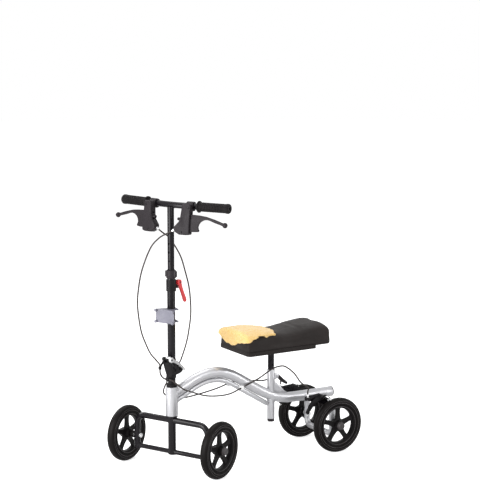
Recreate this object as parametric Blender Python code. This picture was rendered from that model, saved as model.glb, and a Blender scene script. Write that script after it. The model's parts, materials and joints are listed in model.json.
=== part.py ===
# Steerable knee walker: hump-backed frame, folding tiller, four wheels, two rear tyre brakes.
# Metres, +Z up, forward is -Y, the rider's left is +X. The floor is z = 0.
import math

import bmesh
import bpy
import numpy as np
from mathutils import Matrix, Vector

# Clearances
GAP = 0.0003
RUN = 0.0005

# Where the steering axis stands, so that the origin lies under the middle of the part
HEAD_AXIS_Y = -0.2750
STEER_TURN = math.radians(24.4)

# Wheels
WHEEL_R = 0.1015
WHEEL_SIDES = 24
TYRE_WIDTH = 0.030
TYRE_DEPTH = 0.0265
RIM_WIDTH = 0.026
RIM_DEPTH = 0.011
SPOKES = 5
SPOKE_ROOT_WIDTH = 0.024
SPOKE_TIP_WIDTH = 0.017
SPOKE_THICK = 0.013
HUB_R = 0.0185
HUB_HALF = 0.0205
SPACER_R = 0.0105
AXLE_R = 0.0040
AXLE_RUN = 0.0006
BOLT_HEAD_R = 0.0085
BOLT_HEAD_LONG = 0.0060
WASHER_R = 0.0120
WASHER_THICK = 0.0020
FRONT_TRACK = 0.408
REAR_TRACK = 0.239
WHEELBASE = 0.627

# Head tube and front loop
HEAD_R = 0.022
HEAD_WALL = 0.0055
HEAD_BOTTOM = 0.1965
HEAD_TOP = 0.3005
STEERER_TOP = 0.3060
POST_R = 0.0140
POST_BOTTOM = 0.0640
HEADSET_R = 0.0205
HEADSET_HIGH = 0.0060
LOOP_HALF = 0.155
LOOP_TOP = 0.1790
LOOP_BOTTOM = 0.0640
LOOP_R = 0.0110
LOOP_CROSS_R = 0.0085
LOOP_BEND = 0.034

# Main frame tubes
BACKBONE_R = 0.0190
BACKBONE_START = 0.2790
HUMP_Y = 0.172
HUMP_Z = 0.3315
DIP_Y = 0.470
REAR_Z = 0.1965
BACKBONE_END = 0.676
CAP_THICK = 0.005
BRACE_R = 0.0090
BRACE_CLEAR = 0.0003
BRACE_SPLIT_Y = 0.250
BRACE_END_DROP = 0.0040

# Seat tube and seat
SEAT_Y = 0.413
SEAT_TUBE_R = 0.0140
SEAT_TUBE_WALL = 0.0017
SEAT_TUBE_BOTTOM = 0.1290
SEAT_TUBE_TOP = 0.3130
SEAT_PLUG_DROP = 0.0110
SEAT_POST_R = 0.0118
SEAT_POST_BOTTOM = 0.1850
SEAT_HOLE_R = 0.0035
SEAT_HOLE_PITCH = 0.0254
SEAT_HOLES = 4
SEAT_EAR_Z = 0.2860
SEAT_EAR_OUT = 0.0140
SEAT_EAR_THICK = 0.0035
SEAT_EAR_SPACE = 0.0100
GUSSET_THICK = 0.0050
GUSSET_HIGH = 0.2670
GUSSET_LONG = 0.056
PLATE_THICK = 0.0040
PLATE_LONG = 0.120
PLATE_WIDE = 0.064
BOARD_Z = 0.3955
BOARD_THICK = 0.0068
BOARD_HALF = 0.094
BOARD_FRONT = 0.272
BOARD_BACK = 0.543
PAD_FRONT = 0.2560
PAD_BACK = 0.6080
PAD_HALF = 0.1000
PAD_SIDE = 0.0560
PAD_CROWN = 0.0200
PAD_DIP = 0.0120
PAD_CHANNEL = 0.0030
PAD_CORNER = 0.0450
FLEECE_GAP = 0.0004
FLEECE_THICK = 0.0075
FLEECE_BACK = 0.400
FLEECE_DROP = 0.034
FLEECE_SCALLOP = 0.0035

# Rear frame loop
LEG_IN = 0.0365
REAR_LEG_X = REAR_TRACK / 2 - LEG_IN
REAR_LOOP_R = 0.0110
REAR_LOOP_TOP = 0.1715
REAR_LOOP_BOTTOM = 0.0580
REAR_LOOP_BEND = 0.024

# Rear brakes, seen along the axle: angles about the axle from straight up, towards the front
SHOE_TURN = math.radians(19.5)
SHOE_GAP = 0.0026
SHOE_R = 0.0062
SHOE_LONG = 0.034
ARM_PIVOT_TURN = math.radians(28.0)
ARM_PIVOT_OUT = 0.0180
ARM_END_TURN = math.radians(64.0)
ARM_OUT = 0.0245
ARM_WIDTH = 0.0170
ARM_THICK = 0.0060
ARM_PIN_R = 0.0035
ARM_BOSS_R = 0.0095
BRACKET_THICK = 0.0040
BRACKET_OUT = 0.0035
BRACKET_X = REAR_LEG_X + BRACKET_OUT
WIRE_R = 0.0009
ANCHOR_R = 0.0042
ANCHOR_LONG = 0.0240
ANCHOR_LIFT = 0.0440

# Folding joint, in the steered frame: y runs back from the steering axis
FOLD_PIN_Y = 0.0370
FOLD_PIN_Z = 0.3570
FOLD_PIN_R = 0.0035
FOLD_EAR_R = 0.0095
FOLD_HALF = 0.0150
FOLD_KNUCKLE_HALF = 0.0075
FOLD_PLATE = 0.0130
PART_FRONT_Z = 0.3960
PART_FRONT_Y = -0.0285
BASE_CAP_R = 0.0190
BASE_CAP_HIGH = 0.0110
BASE_NECK_R = 0.0138
LATCH_PIN_Y = -0.0290
LATCH_PIN_Z = 0.4040
LATCH_EAR_R = 0.0075
LATCH_SLOT_HALF = 0.0070
NOSE_FRONT_Y = -0.0225
QR_X = 0.0165
QR_THICK = 0.0055
QR_BOSS_R = 0.0100
QR_ROOF_IN = 0.0088
QR_ROOF_OUT = 0.0120
QR_ROOF_X = 0.0030
QR_TIP_Y = 0.0470
QR_TIP_Z = 0.3570
QR_BOW = 0.0050

# Tiller
TILLER_R = 0.0142
TILLER_BORE_R = 0.0125
TILLER_BOTTOM = 0.3930
TILLER_TOP = 0.7140
UPPER_R = 0.0120
UPPER_BOTTOM = 0.5650
BAR_Z = 0.9470
BAR_SETBACK = 0.0060
BAR_R = 0.0110
BAR_HALF = 0.2255
BAR_SWEEP = math.radians(7.0)
BAR_SWEEP_X = 0.0300
HOLE_R = 0.0036
HOLE_PITCH = 0.0310
HOLES = 7
PIN_Z = 0.6565
COLLAR_BOTTOM = 0.6900
COLLAR_TOP = 0.7185
COLLAR_R = 0.0172
COLLAR_EAR = 0.0050
CLAMP_BOTTOM = 0.6440
CLAMP_HIGH = 0.0400
CLAMP_R = 0.0176
CLAMP_EAR_BACK = 0.0300
CLAMP_EAR_HALF = 0.0095
CLAMP_PIVOT_Z = 0.6730
CLAMP_PIVOT_Y = 0.0235
CLAMP_LEVER_LONG = 0.0830
CLAMP_LEVER_TURN = math.radians(26.5)
CLAMP_LEVER_R = 0.0060
PIN_R = 0.0034
KNOB_R = 0.0085
KNOB_START = 0.0345
KNOB_LONG = 0.0270
PLATE_Y = -0.0380
PLATE_HALF = 0.0390
PLATE_Z = 0.5585
PLATE_HIGH = 0.0480
PLATE_T = 0.0035
FLANGE_BACK = 0.0200
FLANGE_HALF = 0.0190
POST_HOOK_R = 0.0050
POST_HOOK_OUT = 0.0080
SCREW_R = 0.0030
SCREW_REACH = 0.0340

# Grips, brake housings and levers
GRIP_R = 0.0160
GRIP_INNER = 0.1090
GRIP_END_THICK = 0.0050
GRIP_FLANGE_R = 0.0205
GRIP_FLANGE_T = 0.0060
GRIP_RIBS = 2
HOUSING_TOP_IN = 0.0640
HOUSING_OUT = 0.0950
HOUSING_FRONT = -0.0300
HOUSING_BACK = -0.0060
HOUSING_BOTTOM = BAR_Z - 0.1000
HOUSING_CLAMP_R = 0.0165
HOUSING_TILT = math.radians(-8.0)
HOUSING_KNOB_Z = BAR_Z - 0.0460
LEVER_PIVOT_X = 0.0620
LEVER_PIVOT_Z = BAR_Z - 0.0430
LEVER_PIN_R = 0.0030
LEVER_THICK = 0.0070
LEVER_END_X = 0.2220
LEVER_END_Z = LEVER_PIVOT_Z - 0.0130
LEVER_BALL_R = 0.0095
LEVER_SLOT = 0.0010
FERRULE_X = 0.0420
FERRULE_Z = BAR_Z - 0.0790
FERRULE_TURN = math.radians(30.0)
FERRULE_R = 0.0040
FERRULE_LONG = 0.0130

# Cables
CABLE_R = 0.0024
CABLE_STEP = 0.036
CABLE_SAG = 0.0011
CLIP_LONG = 0.0100
CLIP_BORE_R = 0.0031
GUIDE_R = 0.0058
GUIDE_LONG = 0.0100


def clear_scene():
    for obj in list(bpy.data.objects):
        bpy.data.objects.remove(obj)


def empty(name, parent=None, location=(0, 0, 0), turn_z=0.0):
    obj = bpy.data.objects.new(name, None)
    bpy.context.scene.collection.objects.link(obj)
    obj.parent = parent
    obj.location = location
    obj.rotation_euler = (0, 0, turn_z)
    return obj


def material(name, color, metallic=0.0, roughness=0.5):
    made = bpy.data.materials.new(name)
    made.use_nodes = True
    shader = made.node_tree.nodes["Principled BSDF"]
    shader.inputs["Base Color"].default_value = (*color, 1.0)
    shader.inputs["Metallic"].default_value = metallic
    shader.inputs["Roughness"].default_value = roughness
    return made


# Meshes: each maker below returns mesh data in the frame of its parent


def finish_mesh(bm):
    bmesh.ops.recalc_face_normals(bm, faces=bm.faces)
    mesh = bpy.data.meshes.new("shape")
    bm.to_mesh(mesh)
    bm.free()
    return mesh


def loft(rings, closed=False):
    """Skins rings of equal length; open lofts get flat caps."""
    bm = bmesh.new()
    rows = [[bm.verts.new(point) for point in ring] for ring in rings]
    count = len(rows[0])
    pairs = list(zip(rows, rows[1:]))
    if closed:
        pairs.append((rows[-1], rows[0]))
    for first, second in pairs:
        for i in range(count):
            j = (i + 1) % count
            bm.faces.new((first[i], first[j], second[j], second[i]))
    if not closed:
        bm.faces.new(rows[0])
        bm.faces.new(rows[-1])
    return finish_mesh(bm)


AXES = {
    "X": (Vector((1, 0, 0)), Vector((0, 1, 0)), Vector((0, 0, 1))),
    "Y": (Vector((0, 1, 0)), Vector((0, 0, 1)), Vector((1, 0, 0))),
    "Z": (Vector((0, 0, 1)), Vector((1, 0, 0)), Vector((0, 1, 0))),
}


def lathe(profile, sides, axis="Z", centre=(0, 0, 0), hollow=False, turn=0.0):
    """Turns (radius, height) points about an axis; a hollow profile runs all the way round."""
    along, across, up = AXES[axis]
    rings = []
    for radius, height in profile:
        ring = []
        for i in range(sides):
            angle = 2 * math.pi * (i + 0.5) / sides + turn
            spoke = across * math.cos(angle) + up * math.sin(angle)
            ring.append(Vector(centre) + along * height + spoke * radius)
        rings.append(ring)
    return loft(rings, closed=hollow)


def cylinder(radius, low, high, sides=20, axis="Z", centre=(0, 0, 0), chamfer=0.0):
    if not chamfer:
        return lathe([(radius, low), (radius, high)], sides, axis, centre)
    profile = [
        (radius - chamfer, low),
        (radius, low + chamfer),
        (radius, high - chamfer),
        (radius - chamfer, high),
    ]
    return lathe(profile, sides, axis, centre)


def prism(outline, low, high, axis="X"):
    """Extrudes an outline; for X it is (y, z), for Y (z, x) and for Z (x, y)."""
    along, across, up = AXES[axis]
    rings = []
    for level in (low, high):
        rings.append([along * level + across * a + up * b for a, b in outline])
    return loft(rings)


def box(low, high):
    (x0, y0, z0), (x1, y1, z1) = low, high
    return prism([(y0, z0), (y1, z0), (y1, z1), (y0, z1)], x0, x1)


def rounded(corners, segments=4):
    """An outline of (a, b, radius) corners, each rounded by its own radius."""
    points = []
    count = len(corners)
    for i, (a, b, radius) in enumerate(corners):
        here = Vector((a, b))
        before = Vector(corners[i - 1][:2]) - here
        after = Vector(corners[(i + 1) % count][:2]) - here
        if radius <= 0:
            points.append((a, b))
            continue
        before.normalize()
        after.normalize()
        half = before.angle(after) / 2
        back = radius / math.tan(half)
        start = here + before * back
        end = here + after * back
        middle = here + (before + after).normalized() * (radius / math.sin(half))
        first = start - middle
        span = first.angle_signed(end - middle)
        for k in range(segments + 1):
            turn = Matrix.Rotation(-span * k / segments, 2)
            points.append(tuple(middle + turn @ first))
    return points


def frames_along(points, closed=False):
    """The tangent and two steady normals at each point of a path."""
    count = len(points)
    tangents = []
    for i in range(count):
        if closed:
            step = points[(i + 1) % count] - points[i - 1]
        else:
            step = points[min(i + 1, count - 1)] - points[max(i - 1, 0)]
        tangents.append(step.normalized())
    start = tangents[0]
    normal = start.cross(Vector((0, 1, 0) if abs(start.y) < 0.9 else (1, 0, 0))).normalized()
    frames = []
    for tangent in tangents:
        normal = (normal - tangent * normal.dot(tangent)).normalized()
        frames.append((tangent, normal, tangent.cross(normal)))
    return frames


def sweep(points, radius, sides, closed=False):
    points = [Vector(p) for p in points]
    rings = []
    for point, (_, normal, other) in zip(points, frames_along(points, closed)):
        ring = []
        for i in range(sides):
            angle = 2 * math.pi * (i + 0.5) / sides
            ring.append(point + (normal * math.cos(angle) + other * math.sin(angle)) * radius)
        rings.append(ring)
    return loft(rings, closed)


def smooth_path(points, step):
    """Even points along a smooth curve through a route's own points."""
    points = [Vector(p) for p in points]
    ends = [points[0] * 2 - points[1]] + points + [points[-1] * 2 - points[-2]]
    fine = []
    for i in range(1, len(ends) - 2):
        p0, p1, p2, p3 = ends[i - 1], ends[i], ends[i + 1], ends[i + 2]
        for k in range(24):
            t = k / 24
            a = 2 * p1
            b = (p2 - p0) * t
            c = (2 * p0 - 5 * p1 + 4 * p2 - p3) * t * t
            d = (3 * p1 - p0 - 3 * p2 + p3) * t ** 3
            fine.append((a + b + c + d) / 2)
    fine.append(points[-1])
    lengths = [0.0]
    for first, second in zip(fine, fine[1:]):
        lengths.append(lengths[-1] + (second - first).length)
    count = max(3, round(lengths[-1] / step) + 1)
    wanted = np.linspace(0, lengths[-1], count)
    columns = [np.interp(wanted, lengths, [p[i] for p in fine]) for i in range(3)]
    return [Vector(p) for p in zip(*columns)]


def thinned(points, sag, longest):
    """Leaves out the points of a fine path that a straight run replaces to within a small sag."""
    kept = [points[0]]
    last = 0
    for i in range(2, len(points)):
        chord = points[i] - points[last]
        way = chord.normalized()
        off = max((p - points[last]).cross(way).length for p in points[last + 1 : i])
        if off > sag or chord.length > longest:
            kept.append(points[i - 1])
            last = i - 1
    return kept + [points[-1]]


def carved(base, joins=(), cuts=(), commons=()):
    """Joins, then cuts, then keeps what is shared, with exact booleans."""
    scene = bpy.context.scene.collection.objects
    work = bpy.data.objects.new("work", base)
    scene.link(work)
    helpers = [work]
    for operation, shapes in (("UNION", joins), ("DIFFERENCE", cuts), ("INTERSECT", commons)):
        for shape in shapes:
            tool = bpy.data.objects.new("tool", shape)
            scene.link(tool)
            helpers.append(tool)
            step = work.modifiers.new(operation.title(), "BOOLEAN")
            step.operation = operation
            step.solver = "EXACT"
            step.object = tool
    bpy.context.view_layer.update()
    graph = bpy.context.evaluated_depsgraph_get()
    mesh = bpy.data.meshes.new_from_object(work.evaluated_get(graph), depsgraph=graph)
    for helper in helpers:
        bpy.data.objects.remove(helper)
    return mesh


def place(mesh, location=(0, 0, 0), turn=None):
    """A copy of a mesh, turned and then moved."""
    copy = mesh.copy()
    matrix = Matrix.Translation(location)
    if turn is not None:
        matrix = matrix @ turn
    copy.transform(matrix)
    return copy


def mirrored(mesh):
    copy = mesh.copy()
    copy.transform(Matrix.Scale(-1, 4, (1, 0, 0)))
    copy.flip_normals()
    return copy


def node(name, mesh, parent, finish, location=(0, 0, 0), smooth=30):
    obj = bpy.data.objects.new(name, mesh)
    bpy.context.scene.collection.objects.link(obj)
    obj.parent = parent
    obj.location = location
    mesh.materials.clear()
    mesh.materials.append(finish)
    mesh.shade_smooth()
    mesh.set_sharp_from_angle(angle=math.radians(smooth))
    return obj


def about(mesh, pivot):
    """The mesh with its origin moved to a pivot."""
    return place(mesh, [-value for value in pivot])


def cord(name, points, radius, parent, finish):
    curve = bpy.data.curves.new(name, "CURVE")
    curve.dimensions = "3D"
    curve.bevel_depth = radius
    curve.bevel_resolution = 2
    curve.use_fill_caps = True
    spline = curve.splines.new("POLY")
    spline.points.add(len(points) - 1)
    for target, point in zip(spline.points, points):
        target.co = (*point, 1.0)
    curve.materials.append(finish)
    obj = bpy.data.objects.new(name, curve)
    bpy.context.scene.collection.objects.link(obj)
    obj.parent = parent
    return obj


def turned(x, y, z):
    """A point of the steered assembly in the main frame's coordinates."""
    c, s = math.cos(STEER_TURN), math.sin(STEER_TURN)
    return Vector((c * x - s * y, s * x + c * y, z))


# Wheels


def tyre_mesh():
    half = TYRE_WIDTH / 2
    inner = WHEEL_R - TYRE_DEPTH
    seat = RIM_WIDTH / 2
    profile = [
        (inner, -seat * 0.80),
        (WHEEL_R - 0.0140, -half),
        (WHEEL_R - 0.0042, -half * 0.76),
        (WHEEL_R, -half * 0.30),
        (WHEEL_R, half * 0.30),
        (WHEEL_R - 0.0042, half * 0.76),
        (WHEEL_R - 0.0140, half),
        (inner, seat * 0.80),
    ]
    return lathe(profile, WHEEL_SIDES, "X", hollow=True)


def rim_mesh():
    outer = WHEEL_R - TYRE_DEPTH - GAP
    inner = outer - RIM_DEPTH
    half = RIM_WIDTH / 2
    ring = lathe(
        [
            (outer, -half * 0.78),
            (outer, half * 0.78),
            (outer - 0.005, half),
            (inner, half * 0.72),
            (inner, -half * 0.72),
            (outer - 0.005, -half),
        ],
        WHEEL_SIDES,
        "X",
        hollow=True,
    )
    hub = lathe(
        [
            (HUB_R - 0.004, -HUB_HALF),
            (HUB_R, -HUB_HALF + 0.004),
            (HUB_R, HUB_HALF - 0.004),
            (HUB_R - 0.004, HUB_HALF),
        ],
        10,
        "X",
    )
    spokes = []
    for i in range(SPOKES):
        turn = Matrix.Rotation(2 * math.pi * i / SPOKES, 4, "X")
        spokes.append(place(spoke_mesh(HUB_R - 0.004, inner + 0.002), turn=turn))
    bore = cylinder(AXLE_R + AXLE_RUN, -HUB_HALF - 0.01, HUB_HALF + 0.01, 10, "X")
    return carved(ring, joins=[hub] + spokes, cuts=[bore])


def spoke_mesh(low, high):
    """A moulded spoke: wide and deep at the hub, slimmer at the rim, with a raised spine."""
    rings = []
    for share, radius in ((0.0, low), (1.0, high)):
        wide = SPOKE_ROOT_WIDTH + (SPOKE_TIP_WIDTH - SPOKE_ROOT_WIDTH) * share
        deep = SPOKE_THICK * (1.0 - 0.18 * share)
        edge = deep * 0.30
        spine = deep * 0.5
        rings.append(
            [
                Vector((-edge, -wide / 2, radius)),
                Vector((-spine, 0, radius)),
                Vector((-edge, wide / 2, radius)),
                Vector((edge, wide / 2, radius)),
                Vector((spine, 0, radius)),
                Vector((edge, -wide / 2, radius)),
            ]
        )
    return loft(rings)


def axle_mesh(leg_x, leg_r, wheel_x):
    """The axle bolt from a nut inside the leg, through its spacer, to the head outside the hub."""
    inner = leg_x - leg_r - GAP
    outer = leg_x + leg_r + GAP
    hub_in = wheel_x - HUB_HALF - RUN
    hub_out = wheel_x + HUB_HALF + RUN
    profile = [
        (BOLT_HEAD_R, inner - BOLT_HEAD_LONG),
        (BOLT_HEAD_R, inner),
        (AXLE_R, inner),
        (AXLE_R, outer),
        (SPACER_R, outer),
        (SPACER_R, hub_in),
        (AXLE_R, hub_in),
        (AXLE_R, hub_out),
        (WASHER_R, hub_out),
        (WASHER_R, wheel_x + HUB_HALF + WASHER_THICK),
        (BOLT_HEAD_R, wheel_x + HUB_HALF + WASHER_THICK),
        (BOLT_HEAD_R - 0.0015, wheel_x + HUB_HALF + WASHER_THICK + BOLT_HEAD_LONG),
    ]
    return lathe(profile, 8, "X")


def build_wheels(parent, track, y, tags, tyre, rim, finish):
    for side, tag in ((1, tags[0]), (-1, tags[1])):
        at = (side * track / 2, y, WHEEL_R)
        node("tyre_" + tag, tyre, parent, finish["tyre"], at)
        node("rim_" + tag, rim, parent, finish["rim"], at)


# Front assembly


def loop_path(half, bottom, top, bend, steps=4, y=0.0):
    """A closed rounded rectangle in the XZ plane."""
    outline = rounded(
        [
            (half, bottom, bend),
            (half, top, bend),
            (-half, top, bend),
            (-half, bottom, bend),
        ],
        steps,
    )
    return [Vector((a, y, b)) for a, b in outline]


def front_frame_mesh():
    """The arch, its lower cross tube, the centre post and the steerer, welded into one."""
    arch = []
    outline = rounded(
        [
            (LOOP_HALF, LOOP_BOTTOM - LOOP_R, 0),
            (LOOP_HALF, LOOP_TOP, LOOP_BEND),
            (-LOOP_HALF, LOOP_TOP, LOOP_BEND),
            (-LOOP_HALF, LOOP_BOTTOM - LOOP_R, 0),
        ],
        5,
    )
    for a, b in outline:
        arch.append(Vector((a, 0, b)))
    arch_tube = sweep(arch, LOOP_R, 12)
    cross = cylinder(LOOP_CROSS_R, -LOOP_HALF, LOOP_HALF, 12, "X", (0, 0, LOOP_BOTTOM))
    shoulder = HEAD_BOTTOM - RUN
    post = lathe(
        [
            (POST_R - 0.002, POST_BOTTOM - LOOP_CROSS_R - 0.001),
            (POST_R, POST_BOTTOM - LOOP_CROSS_R + 0.001),
            (POST_R, shoulder - HEADSET_HIGH - 0.003),
            (HEADSET_R, shoulder - HEADSET_HIGH),
            (HEADSET_R, shoulder),
            (HEAD_R - HEAD_WALL - RUN, shoulder),
            (HEAD_R - HEAD_WALL - RUN, STEERER_TOP),
        ],
        16,
    )
    holes = []
    for side in (-1, 1):
        reach = sorted((side * (LOOP_HALF - 0.03), side * (LOOP_HALF + 0.03)))
        holes.append(cylinder(AXLE_R + 2 * GAP, reach[0], reach[1], 10, "X", (0, 0, WHEEL_R)))
    return carved(arch_tube, joins=[cross, post], cuts=holes)


def part_line(y):
    """Height of the folding joint's slanted parting face."""
    slope = (FOLD_PIN_Z - PART_FRONT_Z) / (FOLD_PIN_Y - 0.010 - PART_FRONT_Y)
    return PART_FRONT_Z + slope * (y - PART_FRONT_Y)


def fold_base_mesh():
    """Lower half of the folding joint: cap, neck, slanted table, rear ears and pin, front ears."""
    neck = HEAD_TOP + RUN
    table_back = FOLD_PIN_Y - 0.012
    under = FOLD_PIN_Z - FOLD_EAR_R - 0.0030
    diagonal = FOLD_EAR_R * 0.71
    outline = [
        (-BASE_NECK_R, neck + 0.030),
        (BASE_NECK_R, neck + 0.030),
        (BASE_NECK_R + 0.001, under),
        (FOLD_PIN_Y - 0.010, under),
        (FOLD_PIN_Y, FOLD_PIN_Z - FOLD_EAR_R),
        (FOLD_PIN_Y + diagonal, FOLD_PIN_Z - diagonal),
        (FOLD_PIN_Y + FOLD_EAR_R, FOLD_PIN_Z),
        (FOLD_PIN_Y + diagonal, FOLD_PIN_Z + diagonal),
        (FOLD_PIN_Y, FOLD_PIN_Z + FOLD_EAR_R),
        (FOLD_PIN_Y - diagonal, FOLD_PIN_Z + diagonal),
        (FOLD_PIN_Y - FOLD_EAR_R, FOLD_PIN_Z + 0.0005),
        (FOLD_PIN_Y - FOLD_EAR_R - 0.0010, part_line(FOLD_PIN_Y - FOLD_EAR_R - 0.0010)),
        (PART_FRONT_Y + 0.004, part_line(PART_FRONT_Y + 0.004)),
        (PART_FRONT_Y, part_line(PART_FRONT_Y) - 0.004),
        (PART_FRONT_Y + 0.002, part_line(PART_FRONT_Y) - 0.018),
        (PART_FRONT_Y + 0.008, part_line(PART_FRONT_Y) - 0.032),
        (-BASE_NECK_R - 0.001, part_line(PART_FRONT_Y) - 0.046),
    ]
    body = prism(outline, -FOLD_HALF, FOLD_HALF)
    round_neck = cylinder(BASE_NECK_R, neck + 0.001, under + 0.006, 18)
    trim = []
    for side in (-1, 1):
        reach = sorted((side * BASE_NECK_R * 0.70, side * (FOLD_HALF + 0.01)))
        slope = [
            (-0.03, neck),
            (0.03, neck),
            (0.03, under - 0.001),
            (BASE_NECK_R + 0.001, under - 0.001),
            (-0.03, under + 0.004),
        ]
        trim.append(prism(slope, reach[0], reach[1]))
    body = carved(body, cuts=trim)
    cap = cylinder(BASE_CAP_R, neck, neck + BASE_CAP_HIGH, 18, chamfer=0.002)
    ears = []
    ear = rounded(
        [
            (PART_FRONT_Y + 0.001, part_line(PART_FRONT_Y) - 0.012, 0),
            (PART_FRONT_Y + 0.009, part_line(PART_FRONT_Y) - 0.012, 0),
            (LATCH_PIN_Y + LATCH_EAR_R, LATCH_PIN_Z + LATCH_EAR_R, LATCH_EAR_R * 0.75),
            (LATCH_PIN_Y - LATCH_EAR_R, LATCH_PIN_Z + LATCH_EAR_R, LATCH_EAR_R * 0.75),
            (LATCH_PIN_Y - LATCH_EAR_R * 0.5, LATCH_PIN_Z - LATCH_EAR_R * 0.85, 0.002),
        ],
        2,
    )
    for side in (-1, 1):
        reach = sorted((side * (LATCH_SLOT_HALF + 0.001), side * (QR_X - RUN)))
        ears.append(prism(ear, reach[0], reach[1]))
    socket = cylinder(HEAD_R - HEAD_WALL + GAP, neck - 0.01, STEERER_TOP + 0.003, 16)
    knuckle_room = cylinder(
        FOLD_EAR_R + RUN,
        -FOLD_KNUCKLE_HALF - RUN,
        FOLD_KNUCKLE_HALF + RUN,
        16,
        "X",
        (0, FOLD_PIN_Y, FOLD_PIN_Z),
    )
    above = prism(
        [
            (FOLD_PIN_Y + 0.02, FOLD_PIN_Z),
            (FOLD_PIN_Y + 0.02, FOLD_PIN_Z + 0.03),
            (FOLD_PIN_Y - 0.030, FOLD_PIN_Z + 0.03),
            (FOLD_PIN_Y - 0.030, part_line(FOLD_PIN_Y - 0.030)),
            (table_back - 0.002, part_line(table_back - 0.002)),
        ],
        -FOLD_KNUCKLE_HALF - RUN,
        FOLD_KNUCKLE_HALF + RUN,
    )
    sides = []
    for side in (-1, 1):
        reach = sorted((side * (FOLD_HALF - 0.0030), side * (FOLD_HALF + 0.01)))
        pocket = rounded(
            [
                (PART_FRONT_Y + 0.013, part_line(PART_FRONT_Y) - 0.034, 0.003),
                (FOLD_PIN_Y - 0.018, FOLD_PIN_Z - 0.006, 0.003),
                (PART_FRONT_Y + 0.013, part_line(PART_FRONT_Y + 0.013) - 0.007, 0.003),
            ],
            1,
        )
        sides.append(prism(pocket, reach[0], reach[1]))
    lx, ly, lz = LEFT_FORK_GUIDE
    rx, ry, rz = RIGHT_FORK_GUIDE
    guides = [
        cylinder(GUIDE_R, -GUIDE_LONG / 2, GUIDE_LONG / 2, 10, "X", LEFT_FORK_GUIDE),
        cylinder(GUIDE_R, -GUIDE_LONG / 2, GUIDE_LONG / 2, 10, "Z", RIGHT_FORK_GUIDE),
        box((lx - 0.0035, ly, lz - 0.003), (lx + 0.0035, ly + 0.012, lz + 0.003)),
        box((rx, ry - 0.0035, rz - 0.0035), (rx + 0.014, ry + 0.0035, rz + 0.0035)),
    ]
    guide_bores = [
        cylinder(CLIP_BORE_R, -GUIDE_LONG, GUIDE_LONG, 8, "X", LEFT_FORK_GUIDE),
        cylinder(CLIP_BORE_R, -GUIDE_LONG, GUIDE_LONG, 8, "Z", RIGHT_FORK_GUIDE),
    ]
    body = carved(
        body,
        joins=[round_neck, cap] + ears + guides,
        cuts=[socket, knuckle_room, above] + sides + guide_bores,
    )
    pin = cylinder(
        FOLD_PIN_R, -FOLD_HALF - 0.0008, FOLD_HALF + 0.0008, 10, "X", (0, FOLD_PIN_Y, FOLD_PIN_Z)
    )
    latch = cylinder(
        FOLD_PIN_R, -QR_X - 0.002, QR_X + QR_THICK + 0.003, 10, "X", (0, LATCH_PIN_Y, LATCH_PIN_Z)
    )
    return carved(body, joins=[pin, latch])


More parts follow.
